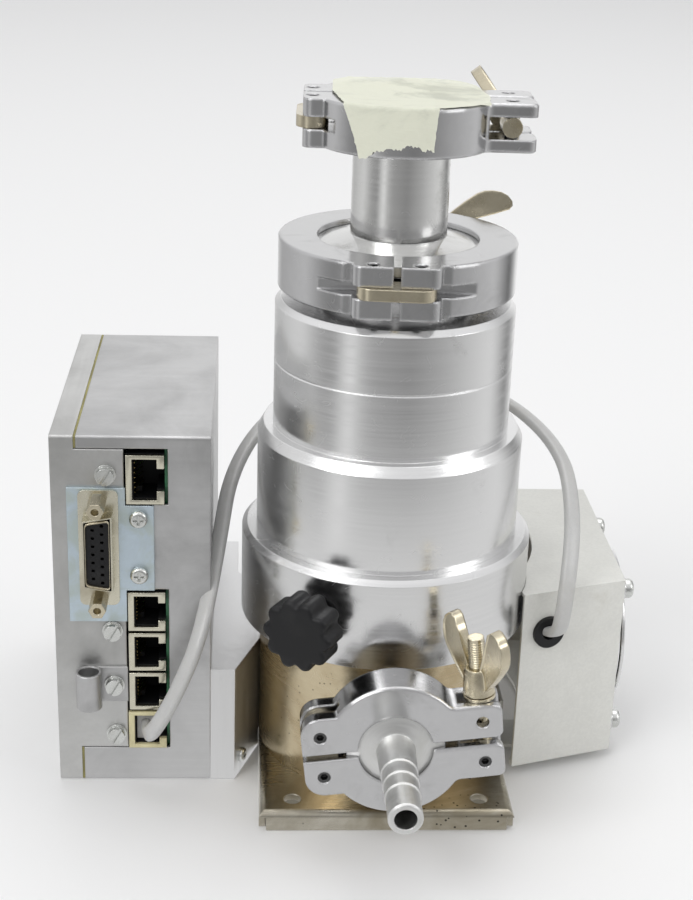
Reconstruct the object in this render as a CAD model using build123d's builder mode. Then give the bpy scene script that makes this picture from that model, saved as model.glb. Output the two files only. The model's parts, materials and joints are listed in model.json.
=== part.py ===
"""Turbomolecular pump with its electronics box, fan duct and three quick clamps.

Millimetres, +Z up. The origin is on the ground, on the rotor's axis; the foreline port faces -Y.
"""

import os
from dataclasses import dataclass
from math import cos, pi, radians, sin, sqrt, tan

from build123d import *

os.makedirs("parts", exist_ok=True)

# ---- Fits and common values ----
running = 0.05  # radial clearance of a shaft in its bore
seat_gap = 0.1  # axial clearance of a sliding piece above its seat
air_gap = 0.3  # clearance between curved faces that stay apart
sheet = 1.2  # sheet metal of the fan duct

# ---- Pump body, from the ground up ----
plate_width = 81.2
plate_depth = 104.0
plate_height = 6.5
plate_sheet = 2.0
plate_bend = 2.5
foot_hole_d = 5.5
foot_hole_dx = 60.0
foot_hole_dy = 88.6
plate_screw_pitch_r = 31.5
plate_screw_d = 4.0

base_r = 40.6
base_top = 54.8
drive_r = 47.0
drive_top = 84.6
drive_chamfer = 1.6
rotor_housing_r = 42.3
step_top = 119.7
step_chamfer_height = 3.2
step_chamfer_width = 1.8
upper_r = 37.5
upper_top = 160.6
upper_chamfer = 1.7
scribe_height = 140.8
scribe_depth = 0.35

# ---- Flange joints ----
seal_gap = 3.9  # between two flange faces, with the centring ring between them
flank_angle = 15.0  # back taper of a small flange
seal_section_r = 2.1  # ring section, squeezed between the faces

centring_lip = 2.2  # how far a centring ring reaches into each flange's bore

foreline_height = 39.3
foreline_y = -62.0
inlet_joint = 172.05
top_joint = 215.9

# ---- Rotor and stators ----
shaft_r = 5.0
rotor_bottom = 12.5
hub_r = 15.0
blade_tip_r = 31.6
disc_count = 6
disc_first = 98.0
disc_pitch = 9.0
blade_count = 16
blade_height = 3.4
blade_thickness = 1.0
blade_tilt = 35.0
stator_rim_r = 33.4
stator_rim_wall = 1.4
drum_r = 30.0
drum_wall = 2.4
drum_bottom = 62.0
drum_top = 91.0
stack_bottom = 93.0  # the stator rings stand on the drag stator from here
drag_stator_r = 36.0
drag_groove_count = 10
motor_magnet_r = 8.0
motor_stator_r = 24.0
motor_bottom = 26.0
motor_top = 46.0
bearing_bottom = 14.0
bearing_width = 7.0
bearing_outer_r = 11.0
bearing_ring_wall = 1.7
bearing_ball_count = 7
magnet_r = 4.0

# ---- Electronics box ----
box_left = -105.9
box_right = -56.6
box_front = -22.4
box_back = 79.6
box_bottom = 0.0
box_top = 121.5
box_wall = 1.5
gasket_x = -98.2
gasket_thickness = 0.8
window_right = -69.8  # right edge of the window for the jacks
window_left = -83.4
panel_top = 117.2
panel_bottom = 12.4
panel_gap = 0.35
box_corner = 0.8

plate_left = -101.0
plate_right = -74.2
plate_low = 58.9
plate_high = 104.8
connector_plate_sheet = 1.0

socket_x = -91.3
socket_z = 84.7
socket_screw_pitch = 33.3
socket_length = 24.6
socket_width = 8.2
socket_flange_length = 39.2
socket_flange_width = 12.4
socket_depth = 6.0
standoff_length = 10.2
standoff_across = 4.8

jack_x = -76.8
jack_mouth_x = -77.4  # middle of the mouths, to the left of the jacks' own middle
jack_width = 11.8
jack_depth = 15.0
jack_proud = 1.2
small_jack_height = 13.5
small_jack_pitch = 14.35
small_jack_low = 33.6
large_jack_z = 107.6
large_jack_height = 16.2
fan_jack_z = 19.2

screw_head_r = 2.75
screw_head_height = 2.2
screw_washer_r = 3.3
screw_washer_thickness = 0.8
screw_shank_r = 1.5
screw_shank_length = 5.0

clip_x = -95.3
clip_z = 36.1
clip_loop_r = 4.1
clip_width = 12.6
clip_sheet = 0.8

cover_screw_spots = [(-89.0, 109.0), (-87.7, 55.3), (-87.1, 17.6)]
clip_screw_x = -87.4
plate_screw_x = -78.9
plate_screw_heights = (94.7, 75.5)

board_thickness = 1.6
board_x = jack_x + jack_width / 2 + board_thickness / 2
board_inset = 9.0  # the board's studs, from the box's edges
board_stud_r = 2.5

block_width = 7.9
block_top = 41.0

# ---- Fan duct ----
duct_right = 79.4
duct_back = 68.0
duct_corner_y = -9.0
duct_left_x = 44.2
duct_left_y = -20.4
duct_low = 3.4
duct_high = 67.4
duct_cut_r = 62.0
duct_foot_reach = 12.0
duct_foot_width = 16.0
duct_foot_height = 18.0
duct_cut_x = -9.0
duct_cut_y = 27.0
fan_size = 60.0
fan_depth = 15.0
fan_y = 23.5
fan_z = 36.0
fan_hole_pitch = 50.0
fan_hub_r = 12.5
fan_blade_r = 27.0
fan_blade_count = 7
fan_bore_r = 28.2
guard_wire_r = 0.8
guard_wire_sides = 8
guard_ring_radii = (8.5, 16.5, 24.5)
guard_bulge = 3.6
grommet_x = 53.1
grommet_z = 53.1
grommet_r = 5.4
grommet_bore_r = 2.4

# ---- Vent valve ----
vent_height = 69.7
vent_angle = 29.5  # degrees from -Y towards -X
vent_seat = 46.0  # distance of the valve's seat from the pump's axis
vent_knob_back = 48.6
vent_knob_front = 62.0
vent_knob_r = 11.6
vent_lobe_count = 10
vent_stem_r = 3.0
vent_socket = 8.0  # depth of the stem's hole in the knob

# ---- Fan cable ----
cable_r = 2.25
cable_points = [
    (51.41, -12.29, 53.1),
    (55.1, -23.7, 53.1),
    (58.2, -26.0, 69.0),
    (60.6, -9.0, 90.5),
    (60.0, 20.0, 104.0),
    (38.0, 47.0, 115.0),
    (2.0, 57.0, 117.0),
    (-33.0, 48.0, 109.0),
    (-48.6, 17.0, 97.5),
    (-50.3, -9.0, 77.0),
    (-54.5, -33.5, 58.5),
    (-65.0, -35.0, 39.5),
    (-73.6, -33.5, 26.0),
    (-77.1, -28.5, 19.9),
    (-77.4, -20.6, 19.2),
]


@dataclass
class Flange:
    """A small flange: its outer radius, its rim's thickness and its bore."""

    r: float
    rim: float
    bore: float

    def back(self, r):
        """Height of the tapered back above the face at radius r."""
        return self.rim + (self.r - r) * tan(radians(flank_angle))


small_flange = Flange(r=15.0, rim=2.4, bore=8.0)
middle_flange = Flange(r=20.0, rim=3.0, bore=12.0)
large_flange = Flange(r=27.5, rim=3.5, bore=20.5)


@dataclass
class Clamp:
    """A hinged clamp; its plane's X runs from the hinge to the bolt, its Y to the nut's half."""

    name: str
    plane: Plane
    flange: Flange
    r: float
    mouth_r: float
    width: float
    hinge_x: float
    bolt_x: float
    ear_end: float
    hinge_corner: float
    shoulder: float  # half width of the step beside the hinge, or zero for none
    split_gap: float = 2.2
    pin_y: float = 6.85
    half_height: float = 12.4
    hinge_half: float = 13.1
    pin_r: float = 1.9
    link_slot: float = 3.7
    bolt_slot: float = 6.6
    slot_depth: float = 7.0

    @property
    def seat_radius(self):
        """Distance from the bolt's pivot to the nut's seat."""
        return self.half_height + self.pin_y

    def at(self, x, y, z=0.0):
        """A point of the clamp's own plane, as a vector of the pump."""
        return self.plane.from_local_coords(Vector(x, y, z))

    def across(self, y):
        """The plane across the bolt at height y."""
        return Plane(origin=self.at(self.bolt_x, y), x_dir=self.plane.x_dir, z_dir=self.plane.y_dir)


def turned(angle, origin, x_dir, y_dir):
    """A plane at origin whose X is x_dir turned by angle towards y_dir."""
    along = Vector(*x_dir) * cos(radians(angle)) + Vector(*y_dir) * sin(radians(angle))
    return Plane(origin=origin, x_dir=along, z_dir=Vector(*x_dir).cross(Vector(*y_dir)))


clamps = [
    Clamp(
        name="foreline_clamp",
        plane=turned(6.6, (0, foreline_y, foreline_height), (1, 0, 0), (0, 0, 1)),
        flange=small_flange,
        r=21.5,
        mouth_r=11.4,
        width=12.8,
        hinge_x=-22.2,
        bolt_x=26.6,
        ear_end=32.6,
        hinge_corner=6.0,
        shoulder=0.0,
    ),
    Clamp(
        name="inlet_clamp",
        plane=turned(4.7, (0, 0, inlet_joint), (0, 1, 0), (1, 0, 0)),
        flange=large_flange,
        r=36.8,
        mouth_r=25.0,
        width=15.9,
        hinge_x=-35.0,
        bolt_x=42.0,
        ear_end=48.6,
        hinge_corner=3.0,
        shoulder=16.3,
    ),
    Clamp(
        name="top_clamp",
        plane=turned(-2.4, (0, 0, top_joint), (1, 0, 0), (0, 1, 0)),
        flange=middle_flange,
        r=27.2,
        mouth_r=17.5,
        width=14.4,
        hinge_x=-27.2,
        bolt_x=31.6,
        ear_end=39.0,
        hinge_corner=3.0,
        shoulder=0.0,
    ),
]

nut_height = 24.0
nut_hub_r = 4.6
nut_hub_height = 9.0
nut_wing_r = 13.5
nut_wing_thickness = 3.8
nut_clear = 12.0  # height of the wings' tips above the seat, so that they turn clear of the arch
bolt_r = 2.4
bolt_tail_r = 3.0
bolt_tail = 4.4
bolt_beyond_seat = 20.0
washer_r = 4.9
washer_thickness = 1.0


def save(part, name):
    """Label a finished piece and write it to its own file."""
    part.label = name
    export_step(part, f"parts/{name}.step")


# ======== Pump body ========

with BuildPart() as foot_plate:
    with BuildSketch():
        Rectangle(plate_width, plate_depth)
    extrude(amount=plate_height)
    fillet(foot_plate.faces().sort_by(Axis.Z)[-1].edges(), plate_bend)
    with BuildSketch():
        Rectangle(plate_width - 2 * plate_sheet, plate_depth - 2 * plate_sheet)
    extrude(amount=plate_height - plate_sheet, mode=Mode.SUBTRACT)
    # The lips are folded down with a slit at each corner.
    with BuildSketch():
        with GridLocations(plate_width, plate_depth, 2, 2):
            Rectangle(2 * plate_sheet + 0.6, 2 * plate_sheet + 0.6)
    extrude(amount=plate_height - plate_sheet, mode=Mode.SUBTRACT)
    with Locations((0, 0, plate_height)):
        with GridLocations(foot_hole_dx, foot_hole_dy, 2, 2):
            Hole(foot_hole_d / 2, depth=plate_sheet + 1)
    with Locations(Plane.XY.offset(plate_height - plate_sheet).rotated((180, 0, 0))):
        with PolarLocations(plate_screw_pitch_r, 4, start_angle=45):
            CounterSinkHole(plate_screw_d / 2 + running, plate_screw_d, depth=plate_sheet + 1)
save(foot_plate.part, "foot_plate")

port_face = foreline_y + seal_gap / 2
chamber_outer = 36.0
chamber_inner = 27.5
chamber_floor = 31.0
neck_r = 10.2
with BuildPart() as base_housing:
    with BuildSketch(Plane.XZ):
        with BuildLine():
            Polyline(
                (0, plate_height),
                (base_r, plate_height),
                (base_r, base_top),
                (chamber_outer, base_top),
                (chamber_outer, chamber_floor),
                (chamber_inner, chamber_floor),
                (chamber_inner, base_top),
                (motor_stator_r, base_top),
                (motor_stator_r, motor_bottom),
                (bearing_outer_r, motor_bottom - 2),
                (bearing_outer_r, bearing_bottom),
                (shaft_r + 2, bearing_bottom),
                (shaft_r + 2, rotor_bottom - 1.5),
                (0, rotor_bottom - 1.5),
                close=True,
            )
        make_face()
    revolve(axis=Axis.Z)
    # The foreline port: its neck, its flange and its bore into the chamber.
    with BuildSketch(Plane.XZ.offset(-port_face)):
        with Locations((0, foreline_height)):
            Circle(neck_r)
    extrude(amount=port_face + base_r - 4)
    port_axis = Axis((0, 0, foreline_height), (0, 1, 0))
    with BuildSketch(Plane.YZ):
        with BuildLine():
            Polyline(
                (port_face, foreline_height),
                (port_face, foreline_height + small_flange.r),
                (port_face + small_flange.rim, foreline_height + small_flange.r),
                (port_face + small_flange.back(neck_r), foreline_height + neck_r),
                (port_face + small_flange.back(neck_r), foreline_height),
                close=True,
            )
        make_face()
    revolve(axis=port_axis)
    with BuildSketch(Plane.XZ.offset(-port_face)):
        with Locations((0, foreline_height)):
            Circle(small_flange.bore)
    extrude(amount=port_face + chamber_inner + 2, mode=Mode.SUBTRACT)
    with Locations(Plane.XY.offset(plate_height).rotated((180, 0, 0))):
        with PolarLocations(plate_screw_pitch_r, 4, start_angle=45):
            Hole(plate_screw_d / 2, depth=9)
save(base_housing.part, "base_housing")

vent_out = Vector(-sin(radians(vent_angle)), -cos(radians(vent_angle)), 0)
vent_axis_plane = Plane(origin=(0, 0, vent_height), x_dir=(vent_out.Y, -vent_out.X, 0), z_dir=vent_out)
drive_floor = base_top + 2.4
vent_stem_inner = vent_seat - 6.5
with BuildPart() as drive_housing:
    with BuildSketch(Plane.XZ):
        with BuildLine():
            Polyline(
                (12, base_top),
                (drive_r, base_top),
                (drive_r, drive_top - drive_chamfer),
                (drive_r - drive_chamfer, drive_top),
                (drag_stator_r, drive_top),
                (drag_stator_r, drive_floor),
                (12, drive_floor),
                close=True,
            )
        make_face()
    revolve(axis=Axis.Z)
    with Locations((0, 0, drive_floor)):
        with PolarLocations((chamber_outer + chamber_inner) / 2, 12):
            Hole(3.0, depth=drive_floor - base_top + 1)
    with BuildSketch(vent_axis_plane.offset(vent_stem_inner - 0.6)):
        Circle(vent_stem_r + running)
    extrude(amount=drive_r, mode=Mode.SUBTRACT)
save(drive_housing.part, "drive_housing")

inlet_face = inlet_joint - seal_gap / 2
neck_large = 22.6
disc_heights = [disc_first + disc_pitch * i for i in range(disc_count)]
rotor_top = disc_heights[-1] + blade_height
carrier_bottom = rotor_top + 1.5
carrier_height = 2.6
cavity_top = carrier_bottom + carrier_height + seat_gap
with BuildPart() as rotor_housing:
    with BuildSketch(Plane.XZ):
        with BuildLine():
            Polyline(
                (drag_stator_r, drive_top),
                (rotor_housing_r, drive_top),
                (rotor_housing_r, step_top - step_chamfer_height),
                (rotor_housing_r - step_chamfer_width, step_top),
                (upper_r, step_top),
                (upper_r, scribe_height - scribe_depth),
                (upper_r - scribe_depth, scribe_height),
                (upper_r, scribe_height + scribe_depth),
                (upper_r, upper_top - upper_chamfer),
                (upper_r - upper_chamfer, upper_top),
                (neck_large, upper_top),
                (neck_large, inlet_face - large_flange.back(neck_large)),
                (large_flange.r, inlet_face - large_flange.rim),
                (large_flange.r, inlet_face),
                (large_flange.bore, inlet_face),
                (large_flange.bore, upper_top - 2),
                (stator_rim_r, cavity_top),
                (stator_rim_r, stack_bottom),
                (drag_stator_r, stack_bottom),
                close=True,
            )
        make_face()
    revolve(axis=Axis.Z)
save(rotor_housing.part, "rotor_housing")

with BuildPart() as housing_screws:
    with Locations(Plane.XY.offset(plate_height - plate_sheet).rotated((180, 0, 0))):
        with PolarLocations(plate_screw_pitch_r, 4, start_angle=45):
            Cone(plate_screw_d / 2, plate_screw_d - 0.2, 1.8, align=(Align.CENTER, Align.CENTER, Align.MAX))
            Cylinder(plate_screw_d / 2, 8, align=(Align.CENTER, Align.CENTER, Align.MAX))
save(housing_screws.part, "housing_screws")

# ======== Rotor, stators and bearings ========


def blade_places(heights, inner_r, outer_r, tilt):
    """Where the flat, tilted blades of several rings stand between two radii."""
    middle = Location(((inner_r + outer_r) / 2, 0, 0), (tilt, 0, 0))
    turns = [Location((0, 0, 0), (0, 0, 360 * i / blade_count)) for i in range(blade_count)]
    return [Location((0, 0, height)) * turn * middle for height in heights for turn in turns]


blade_chord = blade_height / cos(radians(blade_tilt))
with BuildPart() as rotor:
    with BuildSketch(Plane.XZ):
        with BuildLine():
            Polyline(
                (0, rotor_bottom),
                (shaft_r, rotor_bottom),
                (shaft_r, motor_bottom + 1),
                (motor_magnet_r, motor_bottom + 1),
                (motor_magnet_r, motor_top - 1),
                (shaft_r + 2, motor_top + 6),
                (hub_r, drum_top - 6),
                (drum_r - drum_wall, drum_top - 2),
                (drum_r - drum_wall, drum_bottom),
                (drum_r, drum_bottom),
                (drum_r, drum_top),
                (hub_r, drum_top + 1),
                (hub_r, rotor_top - 2),
                (hub_r - 2, rotor_top),
                (magnet_r + 3, rotor_top),
                (magnet_r + 3, rotor_top - 16),
                (0, rotor_top - 16),
                close=True,
            )
        make_face()
    revolve(axis=Axis.Z)
    with Locations(*blade_places(disc_heights, hub_r - 0.6, blade_tip_r, blade_tilt)):
        Box(blade_tip_r - hub_r + 0.6, blade_thickness, blade_chord)
save(rotor.part, "rotor")

stator_inner_r = stator_rim_r - stator_rim_wall
stator_web_r = hub_r + 1.2
stator_heights = [height + disc_pitch / 2 for height in disc_heights[:-1]]
stator_blade_inner = stator_web_r + 0.6
stator_blade_outer = stator_inner_r + 0.4
with BuildPart() as stator_discs:
    with BuildSketch(*[Plane.XY.offset(height - disc_pitch / 2) for height in stator_heights]):
        Circle(stator_rim_r)
        Circle(stator_inner_r, mode=Mode.SUBTRACT)
    extrude(amount=disc_pitch - seat_gap)
    with BuildSketch(Plane.XY.offset(stack_bottom)):
        Circle(stator_rim_r)
        Circle(stator_inner_r, mode=Mode.SUBTRACT)
    extrude(amount=disc_first - seat_gap - stack_bottom)
    with BuildSketch(*[Plane.XY.offset(height - blade_height / 4) for height in stator_heights]):
        Circle(stator_web_r + 1.2)
        Circle(stator_web_r, mode=Mode.SUBTRACT)
    extrude(amount=blade_height / 2)
    with Locations(*blade_places(stator_heights, stator_blade_inner, stator_blade_outer, -blade_tilt)):
        Box(stator_blade_outer - stator_blade_inner, blade_thickness, blade_chord)
save(stator_discs.part, "stator_discs")

with BuildPart() as drag_stator:
    with BuildSketch(Plane.XY.offset(drive_floor)):
        Circle(drag_stator_r)
        Circle(drum_r + air_gap + 0.2, mode=Mode.SUBTRACT)
        with PolarLocations(drum_r + 1.5, drag_groove_count):
            Rectangle(5, 6, mode=Mode.SUBTRACT)
    extrude(amount=stack_bottom - drive_floor)
save(drag_stator.part, "drag_stator")

with BuildPart() as motor_stator:
    with BuildSketch(Plane.XY.offset(motor_bottom)):
        Circle(motor_stator_r)
        Circle(motor_magnet_r + 0.8, mode=Mode.SUBTRACT)
        with PolarLocations(15.5, 6):
            RegularPolygon(3.6, 6, mode=Mode.SUBTRACT)
    extrude(amount=motor_top - motor_bottom)
save(motor_stator.part, "motor_stator")

bearing_middle = (bearing_outer_r + shaft_r) / 2
with BuildPart() as bearing_outer_ring:
    with BuildSketch(Plane.XY.offset(bearing_bottom)):
        Circle(bearing_outer_r)
        Circle(bearing_outer_r - bearing_ring_wall, mode=Mode.SUBTRACT)
    extrude(amount=bearing_width)
save(bearing_outer_ring.part, "bearing_outer_ring")

with BuildPart() as bearing_inner_ring:
    with BuildSketch(Plane.XY.offset(bearing_bottom)):
        Circle(shaft_r + bearing_ring_wall)
        Circle(shaft_r, mode=Mode.SUBTRACT)
    extrude(amount=bearing_width)
save(bearing_inner_ring.part, "bearing_inner_ring")

ball_r = (bearing_outer_r - shaft_r) / 2 - bearing_ring_wall - running
with BuildPart() as bearing_balls:
    with Locations((0, 0, bearing_bottom + bearing_width / 2)):
        with PolarLocations(bearing_middle, bearing_ball_count):
            Sphere(ball_r)
save(bearing_balls.part, "bearing_balls")

carrier_arm = 3.2
with BuildPart() as magnet_carrier:
    with BuildSketch(Plane.XY.offset(carrier_bottom)):
        Circle(stator_rim_r)
        Circle(stator_inner_r, mode=Mode.SUBTRACT)
        Circle(magnet_r + 3)
        with PolarLocations(stator_rim_r / 2, 3):
            Rectangle(stator_rim_r - 2, carrier_arm)
    extrude(amount=carrier_height)
    with BuildSketch(Plane.XY.offset(disc_heights[-1])):
        Circle(stator_rim_r)
        Circle(stator_inner_r, mode=Mode.SUBTRACT)
    extrude(amount=carrier_bottom - disc_heights[-1])
    with BuildSketch(Plane.XY.offset(carrier_bottom)):
        Circle(magnet_r)
    extrude(amount=-14)
save(magnet_carrier.part, "magnet_carrier")

# ======== Inlet reducer and hose nozzle ========

reducer_face = inlet_joint + seal_gap / 2
reducer_top_face = top_joint - seal_gap / 2
tube_r = 14.85
with BuildPart() as reducer:
    with BuildSketch(Plane.XZ):
        with BuildLine():
            Polyline(
                (large_flange.bore, reducer_face),
                (large_flange.r, reducer_face),
                (large_flange.r, reducer_face + large_flange.rim),
                (tube_r, reducer_face + large_flange.back(tube_r)),
                (tube_r, reducer_top_face - middle_flange.back(tube_r)),
                (middle_flange.r, reducer_top_face - middle_flange.rim),
                (middle_flange.r, reducer_top_face),
                (middle_flange.bore, reducer_top_face),
                (middle_flange.bore, reducer_face + centring_lip + 3.3),
                (large_flange.bore, reducer_face + centring_lip + 0.5),
                close=True,
            )
        make_face()
    revolve(axis=Axis.Z)
save(reducer.part, "reducer")

nozzle_face = foreline_y - seal_gap / 2
nozzle_tip = -104.3
nozzle_root_r = 5.9
nozzle_tip_r = 5.1
nozzle_bore_r = 3.3
nozzle_base = nozzle_face - small_flange.back(nozzle_root_r)
barb_rise = 0.35
barb_starts = (0.36, 0.53, 0.70)
with BuildPart() as hose_nozzle:
    with BuildSketch(Plane.YZ):
        with BuildLine():
            outline = [
                (nozzle_face, foreline_height),
                (nozzle_face, foreline_height + small_flange.r),
                (nozzle_face - small_flange.rim, foreline_height + small_flange.r),
                (nozzle_base, foreline_height + nozzle_root_r),
            ]
            for share in barb_starts:
                barb_y = nozzle_base + share * (nozzle_tip - nozzle_base)
                barb_r = nozzle_root_r + share * (nozzle_tip_r - nozzle_root_r)
                outline.append((barb_y, foreline_height + barb_r))
                outline.append((barb_y - 0.2, foreline_height + barb_r - barb_rise))
            outline.append((nozzle_tip + 0.5, foreline_height + nozzle_tip_r))
            outline.append((nozzle_tip, foreline_height + nozzle_tip_r - 0.6))
            outline.append((nozzle_tip, foreline_height))
            Polyline(*outline, close=True)
        make_face()
    revolve(axis=port_axis)
    with BuildSketch(Plane.XZ.offset(-nozzle_face)):
        with Locations((0, foreline_height)):
            Circle(nozzle_bore_r)
    extrude(amount=nozzle_face - nozzle_tip + 1, mode=Mode.SUBTRACT)
    with BuildSketch(Plane.XZ.offset(-nozzle_face)):
        with Locations((0, foreline_height)):
            Circle(small_flange.bore)
    extrude(amount=3, mode=Mode.SUBTRACT)
save(hose_nozzle.part, "hose_nozzle")

# ======== Clamps ========


def clamp_half(clamp, side):
    """One of a clamp's two equal castings: side 1 carries the nut, side -1 the bolt's pivot."""
    ear_seat = clamp.half_height
    with BuildPart() as half:
        with BuildSketch(clamp.plane.offset(-clamp.width / 2)) as outline:
            Circle(clamp.r)
            with Locations((0, side * ear_seat / 2)):
                Rectangle(clamp.ear_end, ear_seat, align=(Align.MIN, Align.CENTER))
            hinge_end = clamp.hinge_x - clamp.hinge_corner + 0.2
            with Locations((hinge_end, side * clamp.hinge_half / 2)):
                Rectangle(-hinge_end, clamp.hinge_half, align=(Align.MIN, Align.CENTER))
            if clamp.shoulder:
                with Locations((clamp.hinge_x - 8, side * (clamp.hinge_half + clamp.shoulder) / 2)):
                    Rectangle(
                        8 + 1.8,
                        clamp.shoulder - clamp.hinge_half,
                        align=(Align.MIN, Align.CENTER),
                        mode=Mode.SUBTRACT,
                    )
            with Locations((0, -side * clamp.ear_end + side * clamp.split_gap / 2)):
                Rectangle(3 * clamp.ear_end, 2 * clamp.ear_end, mode=Mode.SUBTRACT)
            Circle(clamp.mouth_r, mode=Mode.SUBTRACT)
            corners = outline.vertices().filter_by(lambda v: abs(v.X - clamp.ear_end) < 0.01)
            fillet(corners, 2.4)
            hinge_corners = outline.vertices().filter_by(lambda v: abs(v.X - hinge_end) < 0.01)
            fillet(hinge_corners.sort_by(lambda v: side * v.Y)[-1], clamp.hinge_corner)
            fillet(hinge_corners.sort_by(lambda v: side * v.Y)[0], min(clamp.hinge_corner, 3.0))
            arch_x = sqrt(clamp.r**2 - ear_seat**2)
            root = outline.vertices().filter_by(lambda v: abs(v.X - arch_x) < 0.05 and abs(v.Y) > 3)
            fillet(root, 3.0)
        extrude(amount=clamp.width)
        top_and_bottom = half.faces().filter_by(lambda f: abs(f.normal_at().dot(clamp.plane.z_dir)) > 0.99)
        chamfer([f.outer_wire().edges().sort_by(SortBy.LENGTH)[-1] for f in top_and_bottom], 0.5)
        # The groove that grips the two flanges.
        lip = clamp.flange.r + air_gap
        grip_axis = Axis(clamp.plane.origin, clamp.plane.z_dir)
        across = Plane(
            origin=clamp.plane.origin, x_dir=clamp.plane.x_dir, z_dir=-clamp.plane.y_dir
        )
        throat = clamp.mouth_r - 1
        grip = seal_gap / 2 + seat_gap
        with BuildSketch(across):
            with BuildLine():
                Polyline(
                    (throat, grip + clamp.flange.back(throat)),
                    (lip, grip + clamp.flange.back(lip)),
                    (lip, -grip - clamp.flange.back(lip)),
                    (throat, -grip - clamp.flange.back(throat)),
                    close=True,
                )
            make_face()
        revolve(axis=grip_axis, mode=Mode.SUBTRACT)
        # Slots for the link plate and for the swing bolt, both sawn through the middle.
        with BuildSketch(clamp.plane.offset(-clamp.link_slot / 2)):
            with Locations((clamp.hinge_x + 6.6, 0)):
                Rectangle(30, 2 * clamp.ear_end, align=(Align.MAX, Align.CENTER))
        extrude(amount=clamp.link_slot, mode=Mode.SUBTRACT)
        with BuildSketch(clamp.plane.offset(-clamp.bolt_slot / 2)):
            with Locations((clamp.bolt_x - clamp.slot_depth, 0)):
                Rectangle(30, 2 * clamp.ear_end, align=(Align.MIN, Align.CENTER))
        extrude(amount=clamp.bolt_slot, mode=Mode.SUBTRACT)
        with BuildSketch(clamp.plane.offset(-clamp.width)):
            with Locations((clamp.hinge_x, side * clamp.pin_y), (clamp.bolt_x, side * clamp.pin_y)):
                Circle(clamp.pin_r + running)
        extrude(amount=2 * clamp.width, mode=Mode.SUBTRACT)
        # The seat beyond the bolt is rounded about the pivot, so that the nut swings off it.
        if side > 0:
            with BuildSketch(clamp.plane.offset(-clamp.width)):
                with Locations((clamp.bolt_x, -clamp.pin_y)):
                    Circle(2 * clamp.seat_radius)
                    Circle(clamp.seat_radius, mode=Mode.SUBTRACT)
                    Rectangle(
                        4 * clamp.seat_radius,
                        4 * clamp.seat_radius,
                        align=(Align.MAX, Align.CENTER),
                        mode=Mode.SUBTRACT,
                    )
            extrude(amount=2 * clamp.width, mode=Mode.SUBTRACT)
    return half.part


def hinge_pin(clamp, x, y):
    """A headless pin with a hexagon socket in each end."""
    length = clamp.width - 0.6
    with BuildPart() as pin:
        with BuildSketch(clamp.plane.offset(-length / 2)):
            with Locations((x, y)):
                Circle(clamp.pin_r)
        extrude(amount=length)
        for end in (-length / 2, length / 2 - 2.0):
            with BuildSketch(clamp.plane.offset(end)):
                with Locations((x, y)):
                    RegularPolygon(1.2, 6)
            extrude(amount=2.0, mode=Mode.SUBTRACT)
    return pin.part


def link_plate(clamp):
    """The flat plate that joins the two halves at the hinge."""
    thickness = clamp.link_slot - 2 * seat_gap
    with BuildPart() as link:
        with BuildSketch(clamp.plane.offset(-thickness / 2)):
            with Locations((clamp.hinge_x, 0)):
                SlotCenterToCenter(2 * clamp.pin_y, 9.6, rotation=90)
            with Locations((clamp.hinge_x, clamp.pin_y), (clamp.hinge_x, -clamp.pin_y)):
                Circle(clamp.pin_r + running, mode=Mode.SUBTRACT)
        extrude(amount=thickness)
    return link.part


def swing_bolt(clamp):
    """The bolt on its pivot pin: a drilled tail and a threaded rod."""
    with BuildPart() as bolt:
        with BuildSketch(clamp.across(-clamp.pin_y - bolt_tail)):
            Circle(bolt_tail_r)
        extrude(amount=2 * bolt_tail)
        with BuildSketch(clamp.across(-clamp.pin_y)):
            Circle(bolt_r)
        extrude(amount=clamp.seat_radius + bolt_beyond_seat)
        with BuildSketch(clamp.plane.offset(-clamp.width)):
            with Locations((clamp.bolt_x, -clamp.pin_y)):
                Circle(clamp.pin_r + running)
        extrude(amount=2 * clamp.width, mode=Mode.SUBTRACT)
    return bolt.part


def thrust_washer(clamp):
    """The washer between the wing nut and the clamp's seat."""
    with BuildPart() as washer:
        with BuildSketch(clamp.across(clamp.half_height + seat_gap)):
            Circle(washer_r)
            Circle(bolt_r + running, mode=Mode.SUBTRACT)
        extrude(amount=washer_thickness)
    return washer.part


def wing_nut(clamp, turn):
    """The wing nut, its two wings turned by an angle about the bolt."""
    base = clamp.across(clamp.half_height + 2 * seat_gap + washer_thickness)
    wing_plane = Plane(
        origin=base.origin,
        x_dir=base.x_dir * cos(radians(turn)) + base.y_dir * sin(radians(turn)),
        z_dir=base.y_dir * cos(radians(turn)) - base.x_dir * sin(radians(turn)),
    )
    with BuildPart() as nut:
        with BuildSketch(base):
            Circle(nut_hub_r)
        extrude(amount=nut_hub_height)
        for way in (-1, 1):
            with BuildSketch(wing_plane):
                with BuildLine():
                    Polyline(
                        (way * 2.6, 1 - nut_hub_height),
                        (way * nut_hub_r, -2.0),
                        (way * 9.6, 4.4 - nut_clear),
                        (way * (nut_wing_r - 0.6), -nut_clear - 0.6),
                        (way * nut_wing_r, -3.4 - nut_clear),
                        (way * (nut_wing_r - 0.3), 4.2 - nut_height),
                        (way * (nut_wing_r - 1.5), 1.4 - nut_height),
                        (way * (nut_wing_r - 3.6), -nut_height),
                        (way * 7.4, 0.6 - nut_height),
                        (way * 3.2, -1.5 - nut_hub_height),
                        close=True,
                    )
                make_face()
            extrude(amount=nut_wing_thickness / 2, both=True)
        with BuildSketch(base):
            Circle(bolt_r + running)
        extrude(amount=nut_height, mode=Mode.SUBTRACT)
    return nut.part


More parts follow.
